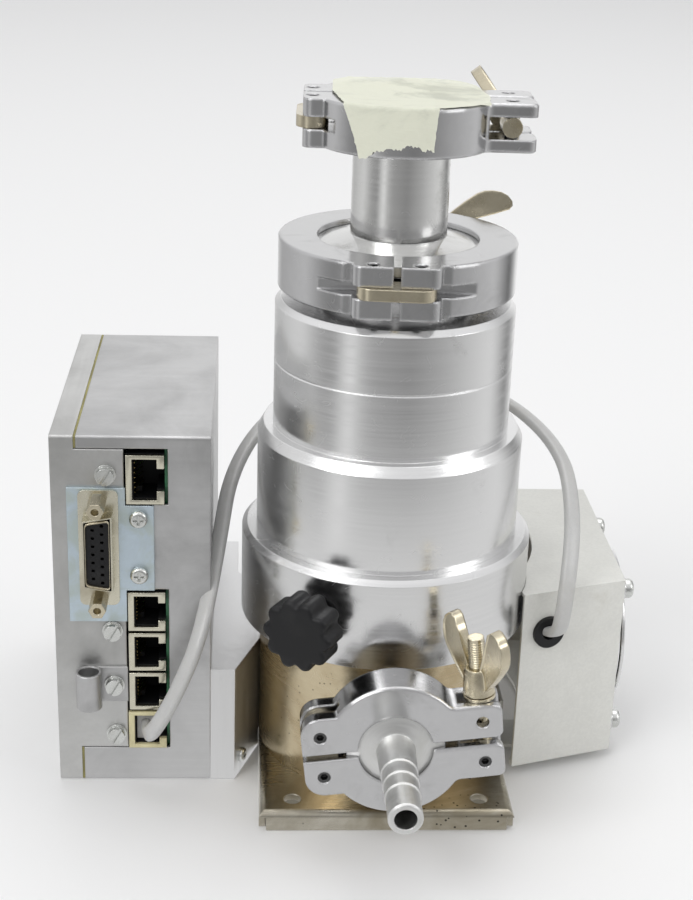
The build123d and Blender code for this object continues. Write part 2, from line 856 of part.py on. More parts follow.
pins = []
links = []
nut_turns = {"foreline_clamp": 115.0, "inlet_clamp": 90.0, "top_clamp": 60.0}
for clamp in clamps:
    save(clamp_half(clamp, 1), f"{clamp.name}_nut_half")
    save(clamp_half(clamp, -1), f"{clamp.name}_pivot_half")
    save(swing_bolt(clamp), f"{clamp.name}_swing_bolt")
    save(thrust_washer(clamp), f"{clamp.name}_washer")
    save(wing_nut(clamp, nut_turns[clamp.name]), f"{clamp.name}_wing_nut")
    pins.append(hinge_pin(clamp, clamp.hinge_x, clamp.pin_y))
    pins.append(hinge_pin(clamp, clamp.hinge_x, -clamp.pin_y))
    pins.append(hinge_pin(clamp, clamp.bolt_x, -clamp.pin_y))
    links.append(link_plate(clamp))
save(Compound(children=pins), "clamp_pins")
save(Compound(children=links), "clamp_links")

# ======== Seals and the tape over the inlet ========

rings = []
seals = []
for clamp in clamps:
    bore = clamp.flange.bore
    with BuildPart() as centring_ring:
        with BuildSketch(clamp.plane.offset(-seal_gap / 2)):
            Circle(bore + 1.6)
            Circle(bore - 1.4, mode=Mode.SUBTRACT)
        extrude(amount=seal_gap)
        with BuildSketch(clamp.plane.offset(-seal_gap / 2 - centring_lip)):
            Circle(bore - running)
            Circle(bore - 1.4, mode=Mode.SUBTRACT)
        extrude(amount=seal_gap + 2 * centring_lip)
    rings.append(centring_ring.part)
    seal_middle = bore + 1.6 + seal_section_r
    with BuildPart() as seal_ring:
        with BuildSketch(clamp.plane.offset(-seal_gap / 2)):
            Circle(seal_middle + seal_section_r)
            Circle(seal_middle - seal_section_r, mode=Mode.SUBTRACT)
        extrude(amount=seal_gap)
    seals.append(seal_ring.part)
save(Compound(children=rings), "centring_rings")
save(Compound(children=seals), "seal_rings")

top_clamp = clamps[2]
tape_thickness = 0.4
tape_low = top_joint - top_clamp.width / 2 + 1.5
tape_level = top_joint + top_clamp.width / 2
tape_left = -17.5
tape_right = 8.5
with BuildPart() as tape_cover:
    with BuildSketch(Plane.XY.offset(tape_level)):
        with BuildLine():
            Polyline(
                (-25.5, 20.5),
                (-24.2, -8.8),
                (tape_left, -top_clamp.r + 6.4),
                (tape_right, -top_clamp.r + 0.8),
                (24.6, -9.0),
                (20.8, 17.0),
                (4.0, 25.5),
                (-12.0, 23.5),
                close=True,
            )
        make_face()
        with BuildSketch(mode=Mode.INTERSECT):
            Circle(top_clamp.r + tape_thickness)
    extrude(amount=tape_thickness)
    with BuildSketch(Plane.XY.offset(tape_low)) as apron:
        Circle(top_clamp.r + tape_thickness)
        Circle(top_clamp.r, mode=Mode.SUBTRACT)
        with Locations(((tape_left + tape_right) / 2, -top_clamp.r)):
            Rectangle(tape_right - tape_left, top_clamp.r, mode=Mode.INTERSECT)
    extrude(amount=tape_level + tape_thickness - tape_low)
save(tape_cover.part, "tape_cover")

# ======== Vent valve ========

with BuildPart() as vent_knob:
    with BuildSketch(vent_axis_plane.offset(vent_knob_back)) as lobes:
        Circle(vent_knob_r)
        with PolarLocations(vent_knob_r + 2.4, vent_lobe_count):
            Circle(3.6, mode=Mode.SUBTRACT)
    extrude(amount=vent_knob_front - vent_knob_back)
    chamfer(vent_knob.faces().sort_by(Axis(vent_axis_plane.origin, vent_out))[-1].edges(), 1.4)
    with BuildSketch(vent_axis_plane.offset(vent_knob_back)):
        Circle(vent_stem_r + running)
    extrude(amount=vent_socket, mode=Mode.SUBTRACT)
save(vent_knob.part, "vent_knob")

with BuildPart() as vent_stem:
    with BuildSketch(vent_axis_plane.offset(vent_stem_inner)):
        Circle(vent_stem_r)
    extrude(amount=vent_knob_back + vent_socket - running - vent_stem_inner)
save(vent_stem.part, "vent_stem")

# ======== Electronics box ========

box_depth = box_back - box_front
box_height = box_top - box_bottom
case_left = gasket_x + gasket_thickness / 2
cover_right = gasket_x - gasket_thickness / 2
box_middle_y = (box_front + box_back) / 2
box_middle_z = (box_top + box_bottom) / 2


def span(low, high):
    """The middle and the length of a stretch."""
    return (low + high) / 2, high - low


case_x, case_width = span(case_left, box_right)
with BuildPart() as box_case:
    with Locations((case_x, box_middle_y, box_middle_z)):
        Box(case_width, box_depth, box_height)
    fillet(box_case.edges().filter_by(Axis.X), box_corner)
    with Locations((case_left, box_middle_y, box_middle_z)):
        Box(
            case_width - box_wall,
            box_depth - 2 * box_wall,
            box_height - 2 * box_wall,
            align=(Align.MIN, Align.CENTER, Align.CENTER),
            mode=Mode.SUBTRACT,
        )
    # The cover's front tongue and the windows of the jacks leave the case's front open here.
    tongue_z, tongue_height = span(panel_bottom - panel_gap, panel_top + panel_gap)
    with Locations((case_left, box_front, tongue_z)):
        Box(
            window_left + panel_gap - case_left,
            2 * box_wall,
            tongue_height,
            align=(Align.MIN, Align.CENTER, Align.CENTER),
            mode=Mode.SUBTRACT,
        )
    small_jack_heights = [small_jack_low + small_jack_pitch * i for i in range(3)]
    windows = [
        (large_jack_z - large_jack_height / 2 - 0.6, panel_top + panel_gap),
        (panel_bottom - panel_gap, small_jack_heights[-1] + small_jack_height / 2 + 0.8),
    ]
    for low, high in windows:
        window_z, window_height = span(low, high)
        with Locations((window_right, box_front, window_z)):
            Box(
                window_right - window_left,
                2 * box_wall,
                window_height,
                align=(Align.MAX, Align.CENTER, Align.CENTER),
                mode=Mode.SUBTRACT,
            )
    with BuildSketch(Plane.XZ.offset(-box_front)):
        with Locations(*[(plate_screw_x, z) for z in plate_screw_heights]):
            Circle(screw_shank_r)
    extrude(amount=-2 * box_wall, mode=Mode.SUBTRACT)
    # Studs from the right wall to the back of the circuit board.
    with BuildSketch(Plane.YZ.offset(board_x + board_thickness / 2)):
        with Locations((box_middle_y, box_middle_z)):
            with GridLocations(box_depth - 2 * board_inset, box_height - 2 * board_inset, 2, 2):
                Circle(board_stud_r)
    extrude(amount=box_right - box_wall - board_x)
save(box_case.part, "box_case")

cover_x, cover_width = span(box_left, cover_right)
with BuildPart() as box_cover:
    with Locations((cover_x, box_middle_y, box_middle_z)):
        Box(cover_width, box_depth, box_height)
    fillet(box_cover.edges().filter_by(Axis.X), box_corner)
    with Locations((box_left + box_wall, box_middle_y, box_middle_z)):
        Box(
            cover_width,
            box_depth - 2 * box_wall,
            box_height - 2 * box_wall,
            align=(Align.MIN, Align.CENTER, Align.CENTER),
            mode=Mode.SUBTRACT,
        )
    tongue_z, tongue_height = span(panel_bottom, panel_top)
    with Locations((cover_right - box_wall, box_front, tongue_z)):
        Box(
            window_left - cover_right + box_wall,
            box_wall,
            tongue_height,
            align=(Align.MIN, Align.MIN, Align.CENTER),
        )
    with Locations((socket_x, box_front, socket_z)):
        Box(socket_width + 1.5, 4 * box_wall, socket_length + 1.5, mode=Mode.SUBTRACT)
    with BuildSketch(Plane.XZ.offset(-box_front)):
        with Locations(*cover_screw_spots, (clip_screw_x, clip_z)):
            Circle(screw_shank_r)
    extrude(amount=-2 * box_wall, mode=Mode.SUBTRACT)
save(box_cover.part, "box_cover")

with BuildPart() as box_gasket:
    with BuildSketch(Plane.YZ.offset(cover_right)):
        with Locations((box_middle_y, box_middle_z)):
            Rectangle(box_depth - 0.4, box_height - 0.4)
            Rectangle(box_depth - 2 * box_wall, box_height - 2 * box_wall, mode=Mode.SUBTRACT)
        with Locations((box_front, (panel_bottom + panel_top) / 2)):
            Rectangle(4 * box_wall, panel_top - panel_bottom + 2 * panel_gap, mode=Mode.SUBTRACT)
    extrude(amount=gasket_thickness)
save(box_gasket.part, "box_gasket")

plate_x, plate_across = span(plate_left, plate_right)
plate_z, plate_up = span(plate_low, plate_high)
with BuildPart() as connector_plate:
    with Locations((plate_x, box_front, plate_z)):
        Box(plate_across, connector_plate_sheet, plate_up, align=(Align.CENTER, Align.MAX, Align.CENTER))
    with Locations((socket_x, box_front, socket_z)):
        Box(socket_width + 1.5, 4, socket_length + 1.5, mode=Mode.SUBTRACT)
    small_top = windows[1][1]
    with Locations((window_left + 0.4, box_front, small_top)):
        Box(20, 4, 30, align=(Align.MIN, Align.CENTER, Align.MAX), mode=Mode.SUBTRACT)
    with Locations((window_left + 0.4, box_front, windows[0][0])):
        Box(20, 4, 30, align=(Align.MIN, Align.CENTER, Align.MIN), mode=Mode.SUBTRACT)
    with BuildSketch(Plane.XZ.offset(-box_front)):
        with Locations(*[(plate_screw_x, z) for z in plate_screw_heights]):
            Circle(screw_shank_r)
    extrude(amount=2 * connector_plate_sheet, both=True, mode=Mode.SUBTRACT)
save(connector_plate.part, "connector_plate")

plate_face = box_front - connector_plate_sheet
socket_taper = radians(10)
with BuildPart() as socket_shell:
    with Locations((socket_x, plate_face, socket_z)):
        Box(
            socket_flange_width,
            0.8,
            socket_flange_length,
            align=(Align.CENTER, Align.MAX, Align.CENTER),
        )
    fillet(socket_shell.edges().filter_by(Axis.Y), 2.0)
    for grow, mode in ((0.5, Mode.ADD), (0.0, Mode.SUBTRACT)):
        half_width = socket_width / 2 + grow
        half_length = socket_length / 2 + grow
        slope = 2 * half_width * tan(socket_taper)
        with BuildSketch(Plane(origin=(socket_x, plate_face, socket_z), x_dir=(1, 0, 0), z_dir=(0, -1, 0))):
            with BuildLine():
                Polyline(
                    (-half_width, -half_length + slope),
                    (half_width, -half_length),
                    (half_width, half_length),
                    (-half_width, half_length - slope),
                    close=True,
                )
            make_face()
        extrude(amount=socket_depth, mode=mode)
    with Locations((socket_x, plate_face, socket_z)):
        Box(socket_width - 2.4, 4, socket_length - 4, mode=Mode.SUBTRACT)
save(socket_shell.part, "socket_shell")

contact_pitch = 2.77
contact_rows = 2.84
with BuildPart() as socket_insert:
    with BuildSketch(Plane(origin=(socket_x, box_front + 4, socket_z), x_dir=(1, 0, 0), z_dir=(0, -1, 0))):
        with BuildLine():
            half_width = socket_width / 2 - 0.5
            half_length = socket_length / 2 - 0.9
            slope = 2 * half_width * tan(socket_taper)
            Polyline(
                (-half_width, -half_length + slope),
                (half_width, -half_length),
                (half_width, half_length),
                (-half_width, half_length - slope),
                close=True,
            )
        make_face()
    extrude(amount=4 + connector_plate_sheet + socket_depth - 0.5)
    front = Plane(
        origin=(socket_x, plate_face - socket_depth + 0.5, socket_z), x_dir=(1, 0, 0), z_dir=(0, 1, 0)
    )
    with BuildSketch(front):
        for row_x, count in ((contact_rows / 2, 8), (-contact_rows / 2, 7)):
            with Locations((row_x, 0)):
                with GridLocations(1, contact_pitch, 1, count):
                    RegularPolygon(0.65, 6)
    extrude(amount=3, mode=Mode.SUBTRACT)
save(socket_insert.part, "socket_insert")

with BuildPart() as hex_standoffs:
    for way in (-1, 1):
        with BuildSketch(
            Plane(
                origin=(socket_x, plate_face - 0.8, socket_z + way * socket_screw_pitch / 2),
                x_dir=(1, 0, 0),
                z_dir=(0, -1, 0),
            )
        ):
            RegularPolygon(standoff_across / 2, 6, major_radius=False)
        extrude(amount=standoff_length)
    tips = hex_standoffs.faces().sort_by(Axis.Y)[:2]
    for tip in tips:
        with BuildSketch(Plane(tip)):
            Circle(1.2)
        extrude(amount=-4, mode=Mode.SUBTRACT)
save(hex_standoffs.part, "hex_standoffs")


def jack(height, opening, middle_z, tongue=0.0):
    """A modular jack with its mouth to the front and its latch notch to the right."""
    front_y = box_front - jack_proud
    mouth_depth = 11.0
    with BuildPart() as shell:
        with Locations((jack_x - tongue / 2, front_y, middle_z)):
            Box(
                jack_width + tongue,
                jack_depth,
                height,
                align=(Align.CENTER, Align.MIN, Align.CENTER),
            )
        with Locations((jack_mouth_x, front_y, middle_z)):
            Box(
                6.6,
                mouth_depth,
                opening,
                align=(Align.CENTER, Align.MIN, Align.CENTER),
                mode=Mode.SUBTRACT,
            )
        with Locations((jack_x + 2.6, front_y, middle_z)):
            Box(
                2.4,
                mouth_depth,
                opening * 0.62,
                align=(Align.MIN, Align.MIN, Align.CENTER),
                mode=Mode.SUBTRACT,
            )
    return shell.part


jack_opening = 9.65
large_jack_opening = 11.7
save(jack(large_jack_height, large_jack_opening, large_jack_z), "large_jack")
small_jacks = [jack(small_jack_height, jack_opening, height) for height in small_jack_heights]
save(Compound(children=small_jacks), "small_jacks")
save(jack(small_jack_height - 0.2, jack_opening, fan_jack_z, 0.4), "fan_jack")

board_low = box_bottom + box_wall + 3
board_high = box_top - box_wall - 3
with BuildPart() as circuit_board:
    board_z, board_height = span(board_low, board_high)
    board_y, board_length = span(box_front + box_wall + 1, box_back - box_wall - 4)
    with Locations((board_x, board_y, board_z)):
        Box(board_thickness, board_length, board_height)
save(circuit_board.part, "circuit_board")


def slotted_screw(x, z, face_y):
    """A slotted cheese-head screw with its washer, driven along +Y into the box."""
    plane = Plane(origin=(x, face_y, z), x_dir=(1, 0, 0), z_dir=(0, -1, 0))
    with BuildPart() as screw:
        with BuildSketch(plane):
            Circle(screw_washer_r)
        extrude(amount=screw_washer_thickness)
        with BuildSketch(plane.offset(screw_washer_thickness)):
            Circle(screw_head_r)
        extrude(amount=screw_head_height)
        with BuildSketch(plane):
            Circle(screw_shank_r)
        extrude(amount=-screw_shank_length)
        with BuildSketch(plane.offset(screw_washer_thickness + screw_head_height - 1.1)):
            Rectangle(3 * screw_head_r, 0.9, rotation=60)
        extrude(amount=2, mode=Mode.SUBTRACT)
    return screw.part


slotted = [slotted_screw(x, z, box_front) for x, z in cover_screw_spots]
slotted.append(slotted_screw(clip_screw_x, clip_z, box_front - clip_sheet))
save(Compound(children=slotted), "slotted_screws")


def cross_screw(plane, head_r, head_height, shank_length):
    """A pan-head screw with a cross recess, its head along the plane's normal."""
    with BuildPart() as screw:
        with BuildSketch(plane):
            Circle(head_r)
        extrude(amount=head_height)
        rim = screw.faces().sort_by(Axis(plane.origin, plane.z_dir))[-1].edges()
        fillet(rim, head_height * 0.55)
        with BuildSketch(plane):
            Circle(screw_shank_r)
        extrude(amount=-shank_length)
        with BuildSketch(plane.offset(head_height - 1.1)):
            Rectangle(head_r * 1.1, 0.8)
            Rectangle(0.8, head_r * 1.1)
        extrude(amount=2, mode=Mode.SUBTRACT)
    return screw.part


front_screws = []
for z in plate_screw_heights:
    place = Plane(origin=(plate_screw_x, plate_face, z), x_dir=(1, 0, 0), z_dir=(0, -1, 0))
    front_screws.append(cross_screw(place, 2.9, 2.2, 4))

block_slope = Vector(-base_r, 0, 0) - Vector(box_right + block_width, box_front, 0)
block_normal = Vector(block_slope.Y, -block_slope.X, 0).normalized()
block_screw = Vector(box_right + block_width, box_front, 6.0) + block_slope * 0.24
block_screw_plane = Plane(origin=block_screw, x_dir=(0, 0, 1), z_dir=block_normal)
front_screws.append(cross_screw(block_screw_plane, 2.4, 1.6, 4))
save(Compound(children=front_screws), "cross_screws")

with BuildPart() as cable_clip:
    clip_centre = (clip_x, box_front - clip_loop_r, clip_z)
    with BuildSketch(Plane(origin=clip_centre, x_dir=(1, 0, 0), z_dir=(0, 0, 1))):
        Circle(clip_loop_r)
        Circle(clip_loop_r - clip_sheet, mode=Mode.SUBTRACT)
    extrude(amount=clip_width / 2, both=True)
    with BuildSketch(Plane.XY.offset(clip_z)):
        with Locations((clip_x, box_front)):
            Rectangle(12.2, clip_sheet, align=(Align.MIN, Align.MAX))
    extrude(amount=clip_width / 2, both=True)
    with BuildSketch(Plane.XZ.offset(-box_front)):
        with Locations((clip_screw_x, clip_z)):
            Circle(screw_shank_r)
    extrude(amount=2 * clip_sheet, both=True, mode=Mode.SUBTRACT)
save(cable_clip.part, "cable_clip")

with BuildPart() as adapter_block:
    with BuildSketch():
        with BuildLine():
            Polyline(
                (box_right, box_front),
                (box_right + block_width, box_front),
                (-base_r, 0),
                (-base_r + 6, base_r - 12),
                (box_right + block_width, base_r + 10),
                (box_right + block_width, box_back - 3),
                (box_right, box_back - 3),
                close=True,
            )
        make_face()
        Circle(base_r, mode=Mode.SUBTRACT)
    extrude(amount=block_top)
    # Clear of the foot plate, and drilled for its screw.
    with Locations((-plate_width / 2 - air_gap, 0, 0)):
        Box(
            20,
            plate_depth + 2,
            2 * plate_height,
            align=(Align.MIN, Align.CENTER, Align.CENTER),
            mode=Mode.SUBTRACT,
        )
    with BuildSketch(block_screw_plane):
        Circle(screw_shank_r)
    extrude(amount=-6, mode=Mode.SUBTRACT)
save(adapter_block.part, "adapter_block")

# ======== Fan duct ========

front_run = Vector(duct_right - duct_left_x, duct_corner_y - duct_left_y, 0)
front_out = Vector(front_run.Y, -front_run.X, 0).normalized()
front_slope = front_run.Y / front_run.X
wall_y = sheet * front_run.length / front_run.X  # the front wall's thickness measured along Y
duct_height = duct_high - duct_low
grommet_y = duct_left_y + (grommet_x - duct_left_x) * front_slope
grommet_plane = Plane(origin=(grommet_x, grommet_y, grommet_z), x_dir=front_run, z_dir=front_out)
with BuildPart() as fan_duct:
    with BuildSketch(Plane.XY.offset(duct_low)):
        with BuildLine():
            Polyline(
                (duct_left_x, duct_left_y),
                (duct_right, duct_corner_y),
                (duct_right, duct_back),
                (40.0, duct_back),
                (40.0, 0.0),
                close=True,
            )
        make_face()
        Circle(drive_r + seat_gap, mode=Mode.SUBTRACT)
        with Locations((duct_cut_x, duct_cut_y)):
            Circle(duct_cut_r, mode=Mode.SUBTRACT)
    extrude(amount=duct_height)
    # Hollow towards the pump: front, right and back walls with a top and a bottom.
    with BuildSketch(Plane.XY.offset(duct_low + sheet)):
        with BuildLine():
            Polyline(
                (duct_left_x - 20, duct_left_y - 20 * front_slope + wall_y),
                (duct_right - sheet, duct_corner_y - sheet * front_slope + wall_y),
                (duct_right - sheet, duct_back - sheet),
                (0.0, duct_back - sheet),
                close=True,
            )
        make_face()
    extrude(amount=duct_height - 2 * sheet, mode=Mode.SUBTRACT)
    with BuildSketch(Plane.YZ.offset(duct_right - 2 * sheet)):
        with Locations((fan_y, fan_z)):
            Circle(fan_bore_r)
            with GridLocations(fan_hole_pitch, fan_hole_pitch, 2, 2):
                Circle(screw_shank_r + running)
    extrude(amount=3 * sheet, mode=Mode.SUBTRACT)
    with BuildSketch(grommet_plane.offset(-2 * sheet)):
        Circle(grommet_r - 1.2)
    extrude(amount=3 * sheet, mode=Mode.SUBTRACT)
    # A foot on the left: it lies against the foot plate's edge and the base housing.
    with Locations((base_r + seat_gap, 0, duct_low)):
        Box(duct_foot_reach, duct_foot_width, sheet, align=(Align.MIN, Align.CENTER, Align.MIN))
        Box(sheet, duct_foot_width, duct_foot_height, align=(Align.MIN, Align.CENTER, Align.MIN))
save(fan_duct.part, "fan_duct")

with BuildPart() as grommet:
    with BuildSketch(grommet_plane.offset(-sheet - 1.5)):
        Circle(grommet_r)
    extrude(amount=sheet + 3.0)
    with BuildSketch(grommet_plane.offset(-sheet)):
        Circle(grommet_r + 2)
        Circle(grommet_r - 1.2, mode=Mode.SUBTRACT)
    extrude(amount=sheet, mode=Mode.SUBTRACT)
    with BuildSketch(grommet_plane.offset(-2 * sheet)):
        Circle(grommet_bore_r)
    extrude(amount=5 * sheet, mode=Mode.SUBTRACT)
save(grommet.part, "grommet")

fan_face = duct_right - sheet
fan_plane = Plane(origin=(fan_face, fan_y, fan_z), x_dir=(0, 1, 0), z_dir=(-1, 0, 0))
with BuildPart() as fan_frame:
    with BuildSketch(fan_plane):
        Rectangle(fan_size, fan_size)
        Circle(fan_bore_r, mode=Mode.SUBTRACT)
        with GridLocations(fan_hole_pitch, fan_hole_pitch, 2, 2):
            Circle(screw_shank_r + running, mode=Mode.SUBTRACT)
    extrude(amount=fan_depth)
    with BuildSketch(fan_plane.offset(fan_depth - 2)):
        Circle(fan_hub_r)
        with PolarLocations(fan_bore_r / 2, 4, start_angle=45):
            Rectangle(fan_bore_r + 1, 3)
    extrude(amount=2)
    with BuildSketch(fan_plane.offset(3)):
        Circle(1.5)
    extrude(amount=fan_depth - 3)
save(fan_frame.part, "fan_frame")

fan_blade_tilt = 38.0
fan_blade_inner = fan_hub_r - 0.6
with BuildPart() as fan_rotor:
    with BuildSketch(fan_plane.offset(1)):
        Circle(fan_hub_r)
    extrude(amount=fan_depth - 3.6)
    with BuildSketch(fan_plane.offset(2.8)):
        Circle(1.5 + running)
    extrude(amount=fan_depth, mode=Mode.SUBTRACT)
    hub_middle = fan_plane.offset(6.6).location
    blade_middle = Location(((fan_blade_inner + fan_blade_r) / 2, 0, 0), (fan_blade_tilt, 0, 0))
    blade_turns = [Location((0, 0, 0), (0, 0, 360 * i / fan_blade_count)) for i in range(fan_blade_count)]
    with Locations(*[hub_middle * turn * blade_middle for turn in blade_turns]):
        Box(fan_blade_r - fan_blade_inner, 13.0, 1.2)
save(fan_rotor.part, "fan_rotor")

guard_face = duct_right + guard_wire_r
guard_eye_r = 3.3
half_pitch = fan_hole_pitch / 2
ring_depths = [guard_face + guard_bulge * (1 - (r / 30.0) ** 2) for r in guard_ring_radii]
corner_ways = [(-1, -1), (-1, 1), (1, -1), (1, 1)]
arm_r = guard_wire_r - 0.1  # the radial wires are a little thinner than the rings
with BuildPart() as wire_guard:
    for ring_r, ring_x in zip(guard_ring_radii, ring_depths):
        with BuildSketch(Plane.XY.offset(fan_z)):
            with Locations((ring_x, fan_y + ring_r)):
                RegularPolygon(guard_wire_r, guard_wire_sides)
        revolve(axis=Axis((0, fan_y, fan_z), (1, 0, 0)))
    for way_y, way_z in corner_ways:
        eye = Vector(guard_face, fan_y + way_y * half_pitch, fan_z + way_z * half_pitch)
        out = Vector(0, way_y, way_z).normalized()
        # One straight wire from the eye to the inner ring, under the outer ring.
        start = eye - out * guard_eye_r
        end = Vector(ring_depths[0] - 0.5, fan_y, fan_z) + out * (guard_ring_radii[0] - 0.4)
        with BuildSketch(Plane(origin=start, z_dir=end - start)):
            RegularPolygon(arm_r, guard_wire_sides)
        extrude(amount=(end - start).length)
        with BuildSketch(Plane(origin=(eye.X, eye.Y, eye.Z), x_dir=(1, 0, 0), z_dir=(0, 0, 1))):
            with Locations((0, guard_eye_r)):
                RegularPolygon(guard_wire_r, guard_wire_sides)
        revolve(axis=Axis((eye.X, eye.Y, eye.Z), (1, 0, 0)))
save(wire_guard.part, "wire_guard")

guard_screws = []
for way_y in (-1, 1):
    for way_z in (-1, 1):
        spot = (guard_face + guard_wire_r, fan_y + way_y * half_pitch, fan_z + way_z * half_pitch)
        guard_screws.append(cross_screw(Plane(origin=spot, x_dir=(0, 1, 0), z_dir=(1, 0, 0)), 3.3, 2.8, 12))
save(Compound(children=guard_screws), "guard_screws")

# ======== Fan cable ========


def corner_radii(points):
    """The largest tangent arc that each corner's two runs leave room for."""
    radii = []
    for before, corner, after in zip(points, points[1:], points[2:]):
        first = Vector(*corner) - Vector(*before)
        second = Vector(*after) - Vector(*corner)
        turn = radians(first.get_angle(second))
        radii.append(0.45 * min(first.length, second.length) / tan(turn / 2))
    return radii


cable_radii = corner_radii(cable_points)
cable_start = Vector(*cable_points[0])
with BuildPart() as fan_cable:
    with BuildLine() as cable_route:
        FilletPolyline(*cable_points, radius=cable_radii)
    with BuildSketch(Plane(origin=cable_start, z_dir=Vector(*cable_points[1]) - cable_start)):
        Circle(cable_r)
    sweep()
save(fan_cable.part, "fan_cable")
cable_length = sum(edge.length for edge in cable_route.edges())
cable_section = pi * cable_r**2
print("cable length", round(cable_length, 1), "radii", [round(r, 1) for r in cable_radii])
cable_fill = fan_cable.part.volume / cable_section / cable_length
print("cable volume over section times length", round(cable_fill, 4))

with BuildPart() as cable_plug:
    plug_end = Vector(*cable_points[-1])
    with Locations(plug_end):
        Box(6.4, 7.5, 9.4, align=(Align.CENTER, Align.MIN, Align.CENTER))
save(cable_plug.part, "cable_plug")
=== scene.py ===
"""Looks of a turbomolecular pump: studio, finishes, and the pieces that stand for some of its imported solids."""

from __future__ import annotations

import json
import logging
import math
import random
from dataclasses import dataclass
from enum import Enum
from typing import Sequence, Union

import bmesh
import bpy
from mathutils import Matrix, Vector, noise


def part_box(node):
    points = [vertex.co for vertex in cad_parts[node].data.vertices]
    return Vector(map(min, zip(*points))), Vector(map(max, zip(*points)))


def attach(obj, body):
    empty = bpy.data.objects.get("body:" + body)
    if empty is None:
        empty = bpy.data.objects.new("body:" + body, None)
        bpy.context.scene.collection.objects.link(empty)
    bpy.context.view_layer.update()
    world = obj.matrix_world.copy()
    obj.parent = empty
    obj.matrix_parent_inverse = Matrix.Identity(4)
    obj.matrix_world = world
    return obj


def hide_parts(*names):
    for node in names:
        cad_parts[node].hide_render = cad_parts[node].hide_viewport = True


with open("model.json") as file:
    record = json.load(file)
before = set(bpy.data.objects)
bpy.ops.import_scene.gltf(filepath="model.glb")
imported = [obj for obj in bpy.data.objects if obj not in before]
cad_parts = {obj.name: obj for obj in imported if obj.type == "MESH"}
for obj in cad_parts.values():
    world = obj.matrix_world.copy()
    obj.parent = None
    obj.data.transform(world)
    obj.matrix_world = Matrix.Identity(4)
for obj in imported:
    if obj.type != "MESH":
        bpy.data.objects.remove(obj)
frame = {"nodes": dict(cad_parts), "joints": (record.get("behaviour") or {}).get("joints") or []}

LOG = logging.getLogger("pump")
Colour = tuple[float, float, float]
Point = tuple[float, float, float]
Outline = Sequence[tuple[float, float]]
Socket = bpy.types.NodeSocket
Value = Union[Socket, float, Sequence[float]]
CLAMPS = ("foreline_clamp", "inlet_clamp", "top_clamp")
MM = 1000.0
RIGHT = Vector((1.0, 0.0, 0.0))
FORWARD = Vector((0.0, -1.0, 0.0))
UP = Vector((0.0, 0.0, 1.0))


class Lay(Enum):
    """How the surface of a metal was worked."""

    TURNED = "turned"
    BRUSHED = "brushed"
    CAST = "cast"


class Along(Enum):
    """The axis that a surface was turned about or brushed along."""

    X = "x"
    Y = "y"
    Z = "z"


# ---------------------------------------------------------------- nodes
class Graph:
    """A node tree under construction."""

    def __init__(self, tree: bpy.types.NodeTree) -> None:
        """Keep the tree.

        Args:
            tree: The node tree that new nodes go into.
        """
        self.tree = tree

    def add(self, kind: str, inputs: dict[Union[str, int], Value] | None = None, **settings: object) -> bpy.types.Node:
        """Add one node.

        Args:
            kind: Blender's name of the node type.
            inputs: Values or sockets for the node's inputs.
            **settings: Attributes of the node.

        Returns:
            The new node.
        """
        node = self.tree.nodes.new(kind)
        for key, value in settings.items():
            setattr(node, key, value)
        for key, value in (inputs or {}).items():
            self.feed(node.inputs[key], value)
        return node

    def feed(self, socket: Socket, value: Value) -> None:
        """Link a socket to an input, or set the input's own value.

        Args:
            socket: The node's input.
            value: A socket, a number or a colour.
        """
        if isinstance(value, bpy.types.NodeSocket):
            self.tree.links.new(value, socket)
        elif socket.type == "RGBA":
            socket.default_value = (*value[:3], 1.0)
        else:
            socket.default_value = value

    def maths(self, operation: str, a: Value, b: Value = 0.0, clamp: bool = False) -> Socket:
        """A number worked out from one or two others."""
        return self.add("ShaderNodeMath", {0: a, 1: b}, operation=operation, use_clamp=clamp).outputs[0]

    def vector(self, operation: str, a: Value, b: Value = (0.0, 0.0, 0.0)) -> bpy.types.Node:
        """A vector operation's node."""
        return self.add("ShaderNodeVectorMath", {0: a, 1: b}, operation=operation)

    def mix(self, share: Value, a: Value, b: Value, blend: str = "MIX") -> Socket:
        """A blend of two colours."""
        node = self.add("ShaderNodeMix", {0: share, 6: a, 7: b}, data_type="RGBA", blend_type=blend)
        return node.outputs[2]

    def step(self, value: Value, low: float, high: float, out_low: float = 0.0, out_high: float = 1.0) -> Socket:
        """A smooth step of a value between two levels.

        Args:
            value: The number that is stepped.
            low: Level where the step begins.
            high: Level where it ends.
            out_low: Result below the step.
            out_high: Result above it.

        Returns:
            The stepped number's socket.
        """
        node = self.add(
            "ShaderNodeMapRange",
            {"Value": value, "From Min": low, "From Max": high, "To Min": out_low, "To Max": out_high},
            interpolation_type="SMOOTHSTEP",
        )
        return node.outputs["Result"]

    def noise(self, place: Value, scale: Value, detail: float = 3.0, rough: float = 0.55, bend: float = 0.0) -> Socket:
        """The grey value of a noise texture.

        Args:
            place: Socket of the position.
            scale: Features per metre.
            detail: Number of finer layers.
            rough: Weight of the finer layers.
            bend: How far the texture is distorted.

        Returns:
            The value's socket.
        """
        node = self.add(
            "ShaderNodeTexNoise",
            {"Vector": place, "Scale": scale, "Detail": detail, "Roughness": rough, "Distortion": bend},
        )
        return node.outputs["Fac"]


